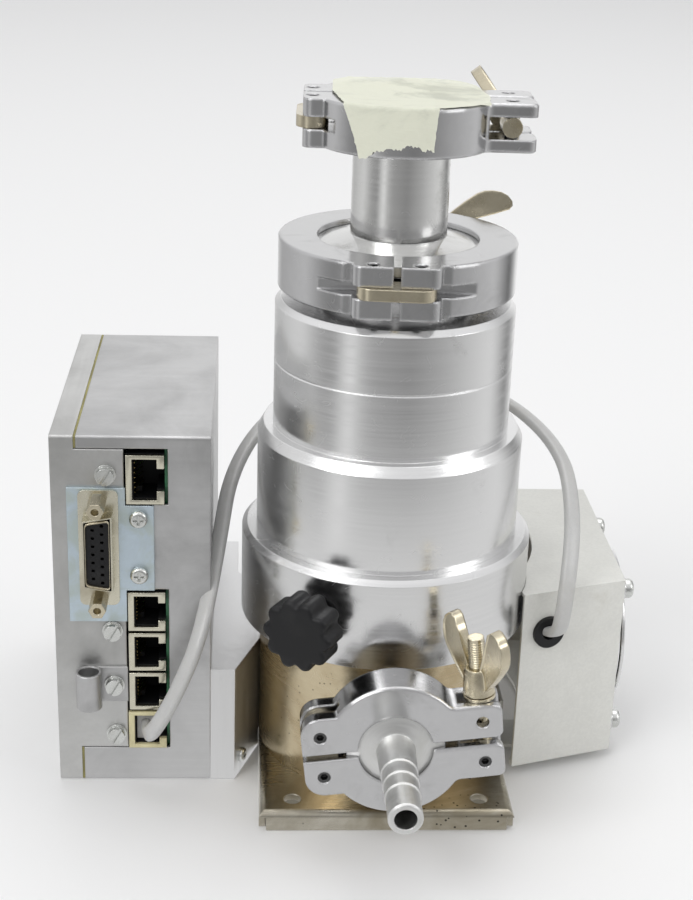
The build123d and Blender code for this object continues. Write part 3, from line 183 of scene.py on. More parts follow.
class Effects:
    """Shader node groups that the finishes share, each built once."""

    def __init__(self) -> None:
        """Start with no groups."""
        self._made: dict[str, bpy.types.NodeTree] = {}

    def place(self, graph: Graph, name: str, **values: Value) -> bpy.types.Node:
        """Place a group in a material.

        Args:
            graph: The material's graph.
            name: Name of the effect, which is a method's name.
            **values: The group's inputs.

        Returns:
            The group's node.
        """
        if name not in self._made:
            self._made[name] = getattr(self, name)()
        node = graph.add("ShaderNodeGroup")
        node.node_tree = self._made[name]
        for key, value in values.items():
            graph.feed(node.inputs[key.capitalize()], value)
        return node

    @staticmethod
    def _open(name: str, vectors: Sequence[str], numbers: Sequence[str], results: Sequence[str]) -> tuple:
        """Open a new group.

        Args:
            name: The group's name.
            vectors: Names of its vector inputs.
            numbers: Names of its number inputs.
            results: Names of its outputs; one called Normal is a vector.

        Returns:
            The graph, the inputs' sockets by name and the output node.
        """
        tree = bpy.data.node_groups.new(name, "ShaderNodeTree")
        for label in vectors:
            tree.interface.new_socket(label, in_out="INPUT", socket_type="NodeSocketVector")
        for label in numbers:
            tree.interface.new_socket(label, in_out="INPUT", socket_type="NodeSocketFloat")
        for label in results:
            kind = "NodeSocketVector" if label == "Normal" else "NodeSocketFloat"
            tree.interface.new_socket(label, in_out="OUTPUT", socket_type=kind)
        graph = Graph(tree)
        source = graph.add("NodeGroupInput")
        sink = graph.add("NodeGroupOutput")
        return graph, {s.name: s for s in source.outputs if s.name}, sink

    def lathe_lines(self) -> bpy.types.NodeTree:
        """Fine rings about the local Z axis, left by a turning tool."""
        graph, given, sink = self._open("Lathe lines", ["Position"], ["Pitch"], ["Lines"])
        split = graph.add("ShaderNodeSeparateXYZ", {0: given["Position"]}).outputs
        flat = graph.add("ShaderNodeCombineXYZ", {0: split[0], 1: split[1]}).outputs[0]
        radius = graph.vector("LENGTH", flat).outputs["Value"]
        turn = graph.maths("ARCTAN2", split[1], split[0])
        rings = graph.maths("DIVIDE", radius, given["Pitch"])
        levels = graph.maths("DIVIDE", split[2], given["Pitch"])
        place = graph.add("ShaderNodeCombineXYZ", {0: rings, 1: levels, 2: graph.maths("MULTIPLY", turn, 0.7)})
        graph.feed(sink.inputs["Lines"], graph.noise(place.outputs[0], 1.0, 2.0, 0.7))
        return graph.tree

    def brush_lines(self) -> bpy.types.NodeTree:
        """Straight scratches along the local X axis."""
        graph, given, sink = self._open("Brush lines", ["Position"], ["Pitch"], ["Lines"])
        across = graph.maths("DIVIDE", 1.0, given["Pitch"])
        along = graph.maths("MULTIPLY", across, 0.03)
        scale = graph.add("ShaderNodeCombineXYZ", {0: along, 1: across, 2: across}).outputs[0]
        place = graph.vector("MULTIPLY", given["Position"], scale).outputs[0]
        graph.feed(sink.inputs["Lines"], graph.noise(place, 1.0, 3.0, 0.65))
        return graph.tree

    def cast_grain(self) -> bpy.types.NodeTree:
        """The fine uneven skin of a tumbled casting."""
        graph, given, sink = self._open("Cast grain", ["Position"], ["Pitch"], ["Lines"])
        scale = graph.maths("DIVIDE", 1.0, given["Pitch"])
        fine = graph.noise(given["Position"], scale, 4.0, 0.6, 0.4)
        broad = graph.noise(given["Position"], graph.maths("MULTIPLY", scale, 0.12), 2.0)
        both = graph.maths("ADD", graph.maths("MULTIPLY", fine, 0.6), graph.maths("MULTIPLY", broad, 0.4))
        graph.feed(sink.inputs["Lines"], both)
        return graph.tree

    def blotches(self) -> bpy.types.NodeTree:
        """Soft patches of stain or tarnish."""
        graph, given, sink = self._open("Blotches", ["Position"], ["Scale", "Level", "Softness"], ["Mask"])
        cloud = graph.noise(given["Position"], given["Scale"], 6.0, 0.62, 0.5)
        low = graph.maths("SUBTRACT", given["Level"], given["Softness"])
        high = graph.maths("ADD", given["Level"], given["Softness"])
        node = graph.add(
            "ShaderNodeMapRange", {"Value": cloud, "From Min": low, "From Max": high}, interpolation_type="SMOOTHSTEP"
        )
        graph.feed(sink.inputs["Mask"], node.outputs["Result"])
        return graph.tree

    def specks(self) -> bpy.types.NodeTree:
        """Scattered dots of dirt or grit."""
        graph, given, sink = self._open("Specks", ["Position"], ["Scale", "Size"], ["Mask"])
        dots = graph.add("ShaderNodeTexVoronoi", {"Vector": given["Position"], "Scale": given["Scale"]})
        near = graph.maths("LESS_THAN", dots.outputs["Distance"], given["Size"])
        cloud = graph.noise(given["Position"], graph.maths("MULTIPLY", given["Scale"], 0.12), 3.0)
        graph.feed(sink.inputs["Mask"], graph.maths("MULTIPLY", near, graph.step(cloud, 0.5, 0.56)))
        return graph.tree

    def hairlines(self) -> bpy.types.NodeTree:
        """Thin wandering scratches."""
        graph, given, sink = self._open("Hairlines", ["Position"], ["Scale", "Width"], ["Mask"])
        cloud = graph.noise(given["Position"], given["Scale"], 2.0, 0.5, 1.2)
        off = graph.maths("ABSOLUTE", graph.maths("SUBTRACT", cloud, 0.5))
        gate = graph.noise(given["Position"], graph.maths("MULTIPLY", given["Scale"], 2.3), 1.0)
        thin = graph.maths("LESS_THAN", off, given["Width"])
        graph.feed(sink.inputs["Mask"], graph.maths("MULTIPLY", thin, graph.step(gate, 0.5, 0.6)))
        return graph.tree

    def rounded_edge_highlight(self) -> bpy.types.NodeTree:
        """Rounded corners from a bevel normal, and a mask of them that the finishes use to paint a highlight along the
        edges.
        """
        graph, given, sink = self._open("Rounded edge highlight", [], ["Radius"], ["Mask", "Normal"])
        round_off = graph.add("ShaderNodeBevel", {"Radius": given["Radius"]}, samples=4)
        flat = graph.add("ShaderNodeNewGeometry").outputs["Normal"]
        match = graph.vector("DOT_PRODUCT", round_off.outputs[0], flat).outputs["Value"]
        graph.feed(sink.inputs["Mask"], graph.step(graph.maths("SUBTRACT", 1.0, match), 0.01, 0.16))
        graph.feed(sink.inputs["Normal"], round_off.outputs[0])
        return graph.tree


EFFECTS = Effects()


def start_material(name: str, clear: bool = False) -> tuple[bpy.types.Material, Graph, bpy.types.Node, Socket]:
    """Begin a material with a Principled shader.

    Args:
        name: The material's name.
        clear: Whether light passes through it.

    Returns:
        The material, its graph, its shader node and the socket of the surface's position.
    """
    material = bpy.data.materials.new(name)
    material.use_nodes = True
    material.node_tree.nodes.clear()
    graph = Graph(material.node_tree)
    shader = graph.add("ShaderNodeBsdfPrincipled")
    output = graph.add("ShaderNodeOutputMaterial")
    graph.feed(output.inputs["Surface"], shader.outputs[0])
    if clear:
        material.surface_render_method = "BLENDED"
    place = graph.add("ShaderNodeTexCoord").outputs["Object"]
    return material, graph, shader, place


def local_place(graph: Graph, place: Socket, along: Along, centre: Point) -> Socket:
    """Positions about a centre, turned so that the worked axis is the local one.

    Args:
        graph: The material's graph.
        place: Socket of the surface's position.
        along: The axis that becomes local Z.
        centre: A point on that axis.

    Returns:
        The socket of the local position.
    """
    moved = graph.vector("SUBTRACT", place, centre).outputs[0]
    if along is Along.Z:
        return moved
    split = graph.add("ShaderNodeSeparateXYZ", {0: moved}).outputs
    order = {Along.X: (1, 2, 0), Along.Y: (2, 0, 1)}[along]
    return graph.add("ShaderNodeCombineXYZ", {i: split[k] for i, k in enumerate(order)}).outputs[0]


# ---------------------------------------------------------------- finishes
@dataclass(frozen=True)
class MetalFinish:
    """A bare metal surface.

    Attributes:
        name: The material's name.
        colour: Colour of the clean metal.
        shade: Colour in its stains.
        roughness: Roughness of the clean metal.
        lay: How the surface was worked.
        along: Axis of that work.
        centre: A point on the axis.
        pitch: Distance between tool marks, in metres.
        depth: Strength of the marks.
        streak: How far the marks darken the colour.
        stain_scale: Patches of stain per metre.
        stain_level: Level above which a patch shows; lower shows more.
        stain_soft: Softness of the patches.
        specks: Size of dark specks, or zero.
        edge: Radius of the rounded corners, in metres.
        stretch: Anisotropy of a turned surface.
    """

    name: str
    colour: Colour
    shade: Colour
    roughness: float
    lay: Lay = Lay.CAST
    along: Along = Along.Z
    centre: Point = (0.0, 0.0, 0.0)
    pitch: float = 0.0006
    depth: float = 0.12
    streak: float = 0.12
    stain_scale: float = 45.0
    stain_level: float = 0.6
    stain_soft: float = 0.12
    specks: float = 0.0
    edge: float = 0.0004
    stretch: float = 0.0

    def build(self) -> bpy.types.Material:
        """Make the material."""
        material, graph, shader, place = start_material(self.name)
        local = local_place(graph, place, self.along, self.centre)
        if self.lay is Lay.BRUSHED:
            swap = graph.add("ShaderNodeSeparateXYZ", {0: local}).outputs
            local = graph.add("ShaderNodeCombineXYZ", {0: swap[2], 1: swap[0], 2: swap[1]}).outputs[0]
        effect = {Lay.TURNED: "lathe_lines", Lay.BRUSHED: "brush_lines", Lay.CAST: "cast_grain"}[self.lay]
        lines = EFFECTS.place(graph, effect, position=local, pitch=self.pitch).outputs["Lines"]
        stain = EFFECTS.place(
            graph, "blotches", position=place, scale=self.stain_scale, level=self.stain_level, softness=self.stain_soft
        ).outputs["Mask"]
        scratch = EFFECTS.place(graph, "hairlines", position=place, scale=70.0, width=0.0018).outputs["Mask"]
        edge_highlight = EFFECTS.place(graph, "rounded_edge_highlight", radius=self.edge)
        dull = tuple(c * (1.0 - self.streak) for c in self.colour)
        colour = graph.mix(graph.step(lines, 0.3, 0.7), dull, self.colour)
        colour = graph.mix(graph.maths("MULTIPLY", stain, 0.85), colour, self.shade)
        # Painted highlight: the metal's colour is lightened along its rounded edges.
        bright = tuple(min(1.0, c * 1.12 + 0.04) for c in self.colour)
        colour = graph.mix(graph.maths("MULTIPLY", edge_highlight.outputs["Mask"], 0.7), colour, bright)
        if self.specks:
            dots = EFFECTS.place(graph, "specks", position=place, scale=420.0, size=self.specks).outputs["Mask"]
            colour = graph.mix(graph.maths("MULTIPLY", dots, 0.9), colour, (0.02, 0.018, 0.015))
        graph.feed(shader.inputs["Base Color"], colour)
        shader.inputs["Metallic"].default_value = 1.0
        rough = graph.step(lines, 0.25, 0.75, self.roughness * 0.8, self.roughness * 1.25)
        rough = graph.maths("ADD", rough, graph.maths("MULTIPLY", stain, 0.14))
        rough = graph.maths("ADD", rough, graph.maths("MULTIPLY", scratch, 0.12), clamp=True)
        graph.feed(shader.inputs["Roughness"], rough)
        height = graph.maths("SUBTRACT", lines, graph.maths("MULTIPLY", scratch, 0.5))
        bump = graph.add(
            "ShaderNodeBump",
            {"Strength": self.depth, "Distance": 0.0003, "Height": height, "Normal": edge_highlight.outputs["Normal"]},
        )
        graph.feed(shader.inputs["Normal"], bump.outputs[0])
        if self.stretch:
            shader.inputs["Anisotropic"].default_value = self.stretch
            axis = {Along.X: (1, 0, 0), Along.Y: (0, 1, 0), Along.Z: (0, 0, 1)}[self.along]
            out = graph.vector("SUBTRACT", place, self.centre).outputs[0]
            around = graph.vector("CROSS_PRODUCT", axis, out).outputs[0]
            graph.feed(shader.inputs["Tangent"], graph.vector("NORMALIZE", around).outputs[0])
        return material


@dataclass(frozen=True)
class CoatFinish:
    """Paint, plastic or rubber.

    Attributes:
        name: The material's name.
        colour: Colour of the clean surface.
        soil: Colour of the dust or grime on it.
        roughness: Roughness of the clean surface.
        grain: Size of the moulded or sprayed grain, in metres.
        depth: Strength of the grain.
        soil_level: Level above which grime shows.
        specks: Size of specks, or zero.
        edge: Radius of the rounded corners.
        gloss: Weight of a clear coat.
        glow: Share of light that enters the surface.
    """

    name: str
    colour: Colour
    soil: Colour
    roughness: float
    grain: float = 0.0005
    depth: float = 0.1
    soil_level: float = 0.62
    specks: float = 0.0
    edge: float = 0.0004
    gloss: float = 0.0
    glow: float = 0.0

    def build(self) -> bpy.types.Material:
        """Make the material."""
        material, graph, shader, place = start_material(self.name)
        grain = EFFECTS.place(graph, "cast_grain", position=place, pitch=self.grain).outputs["Lines"]
        grime = EFFECTS.place(
            graph, "blotches", position=place, scale=55.0, level=self.soil_level, softness=0.13
        ).outputs["Mask"]
        edge_highlight = EFFECTS.place(graph, "rounded_edge_highlight", radius=self.edge)
        deep = tuple(c * 0.93 for c in self.colour)
        colour = graph.mix(graph.step(grain, 0.35, 0.65), deep, self.colour)
        colour = graph.mix(graph.maths("MULTIPLY", grime, 0.5), colour, self.soil)
        # Painted highlight: the coat's colour is lightened along its rounded edges.
        pale = tuple(min(1.0, c * 1.15 + 0.02) for c in self.colour)
        colour = graph.mix(graph.maths("MULTIPLY", edge_highlight.outputs["Mask"], 0.5), colour, pale)
        if self.specks:
            dots = EFFECTS.place(graph, "specks", position=place, scale=350.0, size=self.specks).outputs["Mask"]
            colour = graph.mix(graph.maths("MULTIPLY", dots, 0.8), colour, self.soil)
        graph.feed(shader.inputs["Base Color"], colour)
        rough = graph.maths("ADD", self.roughness, graph.maths("MULTIPLY", grime, 0.15), clamp=True)
        graph.feed(shader.inputs["Roughness"], rough)
        bump = graph.add(
            "ShaderNodeBump",
            {"Strength": self.depth, "Distance": 0.0003, "Height": grain, "Normal": edge_highlight.outputs["Normal"]},
        )
        graph.feed(shader.inputs["Normal"], bump.outputs[0])
        shader.inputs["Specular IOR Level"].default_value = 0.3 if max(self.colour) < 0.05 else 0.5
        shader.inputs["Coat Weight"].default_value = self.gloss
        shader.inputs["Coat Roughness"].default_value = 0.12
        if self.glow:
            shader.inputs["Subsurface Weight"].default_value = self.glow
            shader.inputs["Subsurface Radius"].default_value = (0.002, 0.0018, 0.0014)
        return material


@dataclass(frozen=True)
class TapeFinish:
    """Thin paper tape that lets the metal under it show faintly."""

    name: str = "paper_tape"
    colour: Colour = (0.72, 0.73, 0.60)
    shade: Colour = (0.58, 0.60, 0.50)

    def build(self) -> bpy.types.Material:
        """Make the material."""
        material, graph, shader, place = start_material(self.name, clear=True)
        crepe = EFFECTS.place(graph, "brush_lines", position=place, pitch=0.0008).outputs["Lines"]
        patch = EFFECTS.place(graph, "blotches", position=place, scale=40.0, level=0.56, softness=0.1).outputs["Mask"]
        colour = graph.mix(graph.maths("MULTIPLY", patch, 0.5), self.colour, self.shade)
        graph.feed(shader.inputs["Base Color"], graph.mix(graph.maths("MULTIPLY", crepe, 0.3), colour, (0.8, 0.8, 0.7)))
        graph.feed(shader.inputs["Alpha"], graph.step(patch, 0.0, 1.0, 0.96, 0.8))
        shader.inputs["Roughness"].default_value = 0.5
        bump = graph.add("ShaderNodeBump", {"Strength": 0.25, "Distance": 0.0004, "Height": crepe})
        graph.feed(shader.inputs["Normal"], bump.outputs[0])
        return material


Finish = Union[MetalFinish, CoatFinish, TapeFinish]

TURNED = MetalFinish(
    "turned_aluminium", (0.80, 0.80, 0.80), (0.66, 0.66, 0.65), 0.2, Lay.TURNED, pitch=0.0012, depth=0.006, streak=0.03,
    stain_level=0.7, stretch=0.75,
)
DRIVE_RING = MetalFinish(
    "drive_ring_aluminium", (0.76, 0.76, 0.76), (0.60, 0.60, 0.60), 0.2, Lay.TURNED, pitch=0.0014, depth=0.006,
    streak=0.04, stain_level=0.7, stretch=0.7,
)
BASE = MetalFinish(
    "stained_base", (0.64, 0.55, 0.38), (0.38, 0.28, 0.15), 0.2, Lay.TURNED, pitch=0.0014, depth=0.008, streak=0.04,
    stain_scale=26.0, stain_level=0.5, stain_soft=0.16, specks=0.10, stretch=0.6,
)
PLATE = MetalFinish(
    "stained_plate", (0.52, 0.49, 0.42), (0.22, 0.19, 0.13), 0.24, Lay.BRUSHED, Along.X, pitch=0.0008, depth=0.08,
    stain_scale=22.0, stain_level=0.5, stain_soft=0.14, specks=0.16, edge=0.0006,
)
CASTING = MetalFinish(
    "tumbled_casting", (0.56, 0.56, 0.565), (0.44, 0.44, 0.44), 0.15, Lay.CAST, pitch=0.004, depth=0.03, streak=0.05,
    stain_level=0.62, edge=0.0012,
)
PIPE = MetalFinish(
    "polished_tube", (0.74, 0.74, 0.73), (0.60, 0.60, 0.58), 0.16, Lay.TURNED, pitch=0.0012, depth=0.006, streak=0.03,
    stretch=0.7,
)
NOZZLE = MetalFinish(
    "turned_nozzle", (0.72, 0.72, 0.71), (0.58, 0.58, 0.55), 0.4, Lay.TURNED, Along.Y, (0.0, 0.0, 0.0393),
    pitch=0.0008, depth=0.06, streak=0.06, edge=0.0007, stretch=0.3,
)
NICKEL = MetalFinish(
    "warm_nickel", (0.64, 0.58, 0.44), (0.40, 0.34, 0.22), 0.22, Lay.CAST, pitch=0.002, depth=0.12, streak=0.08,
    edge=0.0005,
)
SHELL = MetalFinish(
    "jack_shell", (0.70, 0.67, 0.55), (0.50, 0.46, 0.36), 0.25, Lay.CAST, pitch=0.002, depth=0.05, edge=0.0002
)
BLACKENED = MetalFinish("blackened_steel", (0.10, 0.10, 0.10), (0.04, 0.04, 0.04), 0.3, Lay.CAST)
CASE = MetalFinish(
    "brushed_case", (0.60, 0.60, 0.60), (0.38, 0.38, 0.38), 0.36, Lay.BRUSHED, Along.X, pitch=0.0014, depth=0.03,
    streak=0.07, stain_scale=20.0, stain_level=0.52, stain_soft=0.2, edge=0.0008,
)
COVER = MetalFinish(
    "brushed_cover", (0.62, 0.62, 0.61), (0.40, 0.40, 0.39), 0.34, Lay.BRUSHED, Along.Y, pitch=0.0014, depth=0.03,
    streak=0.07, stain_scale=17.0, stain_level=0.52, stain_soft=0.2, edge=0.0008,
)
ZINC = MetalFinish(
    "blue_zinc", (0.62, 0.72, 0.80), (0.55, 0.62, 0.60), 0.36, Lay.CAST, pitch=0.003, depth=0.05, stain_scale=90.0,
    stain_level=0.5,
)
SCREW = MetalFinish(
    "screw_zinc", (0.70, 0.71, 0.69), (0.45, 0.45, 0.42), 0.24, Lay.CAST, pitch=0.001, depth=0.12, edge=0.0003
)
BRIGHT = MetalFinish("bright_wire", (0.80, 0.80, 0.80), (0.6, 0.6, 0.6), 0.08, Lay.CAST, depth=0.01)
GOLD = MetalFinish("gold_contact", (0.85, 0.62, 0.25), (0.5, 0.35, 0.15), 0.2, Lay.CAST, depth=0.02)
COPPER = MetalFinish("varnished_copper", (0.6, 0.32, 0.18), (0.3, 0.15, 0.08), 0.35, Lay.CAST)
BLOCK = MetalFinish(
    "satin_block", (0.74, 0.74, 0.74), (0.62, 0.62, 0.61), 0.40, Lay.BRUSHED, Along.Z, pitch=0.001, depth=0.04,
    streak=0.05, stain_level=0.66,
)
BLACK_PLASTIC = CoatFinish(
    "black_knob_plastic", (0.008, 0.008, 0.009), (0.03, 0.03, 0.03), 0.42, grain=0.0007, depth=0.05, edge=0.0006
)
BLACK_RUBBER = CoatFinish("black_rubber", (0.008, 0.008, 0.009), (0.03, 0.03, 0.03), 0.45, edge=0.0005)
# Near-black: the plastic of the jack bodies, and painted shade in the socket's pole mouths.
DARK = CoatFinish("dark_plastic_and_hole_shade", (0.004, 0.004, 0.005), (0.012, 0.012, 0.012), 0.55, depth=0.03, edge=0.0002)
OLIVE = CoatFinish("olive_gasket", (0.36, 0.33, 0.12), (0.10, 0.09, 0.05), 0.6, soil_level=0.5)
CREAM = CoatFinish("cream_socket", (0.74, 0.68, 0.42), (0.45, 0.38, 0.2), 0.4, glow=0.1)
PAINT = CoatFinish(
    "duct_paint", (0.74, 0.74, 0.70), (0.52, 0.50, 0.44), 0.42, grain=0.0011, depth=0.05, specks=0.05, soil_level=0.7
)
CORD = CoatFinish("cable_sheath", (0.54, 0.54, 0.53), (0.44, 0.43, 0.40), 0.34, depth=0.03, gloss=0.2, glow=0.1)
BOARD = CoatFinish("board_lacquer", (0.03, 0.16, 0.07), (0.02, 0.08, 0.04), 0.35)
TAPE = TapeFinish()


class Wardrobe:
    """Finishes made so far, so that each becomes one material."""

    def __init__(self) -> None:
        """Start empty."""
        self._made: dict[str, bpy.types.Material] = {}

    def get(self, finish: Finish) -> bpy.types.Material:
        """The finish's material, built the first time it is asked for.

        Args:
            finish: The finish.

        Returns:
            Its material.
        """
        if finish.name not in self._made:
            self._made[finish.name] = finish.build()
        return self._made[finish.name]

    def dress(self, finish: Finish, *nodes: str) -> None:
        """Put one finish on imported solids.

        Args:
            finish: The finish.
            *nodes: Names of the solids' nodes.
        """
        material = self.get(finish)
        for name in nodes:
            mesh = frame["nodes"][name].data
            mesh.materials.clear()
            mesh.materials.append(material)
            LOG.info("%s wears %s", name, finish.name)


WARDROBE = Wardrobe()


def new_piece(name: str, mesh: bpy.types.Mesh, finish: Finish) -> bpy.types.Object:
    """Make an object of a mesh.

    Args:
        name: The piece's name.
        mesh: Its mesh, in the shared frame.
        finish: Its finish.

    Returns:
        The linked object.
    """
    piece = bpy.data.objects.new(name, mesh)
    bpy.context.scene.collection.objects.link(piece)
    piece.data.materials.append(WARDROBE.get(finish))
    return piece


def axes(origin: Vector, x_dir: Vector, z_dir: Vector) -> Matrix:
    """A local frame.

    Args:
        origin: Its origin, in metres.
        x_dir: About where its X points.
        z_dir: Where its Z points.

    Returns:
        The frame's matrix.
    """
    z = z_dir.normalized()
    x = (x_dir - z * x_dir.dot(z)).normalized()
    place = Matrix((x, z.cross(x), z)).transposed().to_4x4()
    place.translation = origin
    return place


class Shape:
    """A mesh under construction, with its sizes in millimetres in local frames."""

    def __init__(self) -> None:
        """Start empty."""
        self.work = bmesh.new()

    def _loop(self, place: Matrix, points: Sequence[Point]) -> list[bmesh.types.BMVert]:
        """Vertices at local points given in millimetres."""
        return [self.work.verts.new(place @ (Vector(p) / MM)) for p in points]

    def prism(self, place: Matrix, outline: Outline, low: float, high: float) -> list[bmesh.types.BMFace]:
        """Extrude an outline along the local Z.

        Args:
            place: The local frame.
            outline: Corners in the local XY plane, counter-clockwise.
            low: Level of the back face.
            high: Level of the front face.

        Returns:
            The back and the front face.
        """
        back = self._loop(place, [(x, y, low) for x, y in outline])
        front = self._loop(place, [(x, y, high) for x, y in outline])
        count = len(outline)
        for i in range(count):
            j = (i + 1) % count
            self.work.faces.new((back[i], back[j], front[j], front[i]))
        return [self.work.faces.new(back[::-1]), self.work.faces.new(front)]

    def lathe(
        self, place: Matrix, profile: Outline, segments: int = 40, lobes: int = 0, dips: Sequence[float] = ()
    ) -> None:
        """Turn a profile about the local Z.

        Args:
            place: The local frame.
            profile: Radius and level of each ring; the first and the last ring are closed with flat faces.
            segments: Number of steps round the axis.
            lobes: Number of lobes on the rim, or zero.
            dips: Depth of the dips between the lobes at each ring.
        """
        rings = []
        for k, (radius, level) in enumerate(profile):
            points = []
            for i in range(segments):
                turn = 2.0 * math.pi * i / segments
                wave = abs(math.cos(0.5 * lobes * turn)) ** 3.0 * dips[k] if lobes else 0.0
                points.append(((radius - wave) * math.cos(turn), (radius - wave) * math.sin(turn), level))
            rings.append(self._loop(place, points))
        for below, above in zip(rings, rings[1:]):
            for i in range(segments):
                j = (i + 1) % segments
                self.work.faces.new((below[i], below[j], above[j], above[i]))
        self.work.faces.new(rings[0][::-1])
        self.work.faces.new(rings[-1])

    def ring(self, place: Matrix, outline: Outline, wall: float, low: float, high: float) -> None:
        """Extrude the wall round an outline along the local Z.

        Args:
            place: The local frame.
            outline: The inner corners, counter-clockwise.
            wall: Thickness of the wall.
            low: Level of the back.
            high: Level of the front.
        """
        middle = Vector((sum(x for x, _ in outline), sum(y for _, y in outline))) / len(outline)
        outer = [Vector(p) + (Vector(p) - middle).normalized() * wall for p in outline]
        loops = [self._loop(place, [(p[0], p[1], z) for p in side]) for side in (outline, outer) for z in (low, high)]
        count = len(outline)
        for one, two in ((0, 1), (1, 3), (3, 2), (2, 0)):
            for i in range(count):
                j = (i + 1) % count
                self.work.faces.new((loops[one][i], loops[one][j], loops[two][j], loops[two][i]))

    def panel(self, faces: Sequence[bmesh.types.BMFace], margin: float, depth: float) -> None:
        """Sink a panel into each of some flat faces, by millimetres."""
        bmesh.ops.inset_individual(self.work, faces=list(faces), thickness=margin / MM, depth=0.0)
        bmesh.ops.inset_individual(self.work, faces=list(faces), thickness=0.0003, depth=-depth / MM)

    def mesh(self, name: str, bevel: float = 0.0, steps: int = 2) -> bpy.types.Mesh:
        """Close the shape.

        Args:
            name: The mesh's name.
            bevel: Width of the rounding on sharp edges, in millimetres.
            steps: Faces across that rounding.

        Returns:
            The mesh, in the shared frame.
        """
        bmesh.ops.recalc_face_normals(self.work, faces=self.work.faces[:])
        if bevel:
            sharp = [e for e in self.work.edges if len(e.link_faces) == 2 and e.calc_face_angle(0.0) > 0.6]
            bmesh.ops.bevel(
                self.work, geom=sharp, offset=bevel / MM, segments=steps, profile=0.5, affect="EDGES",
                clamp_overlap=True,
            )
        mesh = bpy.data.meshes.new(name)
        self.work.to_mesh(mesh)
        self.work.free()
        mesh.shade_smooth()
        mesh.set_sharp_from_angle(angle=math.radians(38.0))
        return mesh


def joint_of(name: str) -> dict:
    """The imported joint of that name."""
    return next(j for j in frame["joints"] if j["name"] == name)


def along_joint(node: str, joint: str) -> tuple[Vector, Vector, Vector, float]:
    """Where a node lies on its joint's axis.

    Args:
        node: The node's name.
        joint: The joint's name.

    Returns:
        The axis's foot at the node's base, the axis, the direction of the farthest point, and the node's length.
    """
    data = joint_of(joint)
    axis, point = Vector(data["axis"]).normalized(), Vector(data["pos_m"])
    reach = [v.co - point for v in frame["nodes"][node].data.vertices]
    levels = [r.dot(axis) for r in reach]
    far = max((r - axis * r.dot(axis) for r in reach), key=lambda r: r.length)
    return point + axis * min(levels), axis, far.normalized(), max(levels) - min(levels)


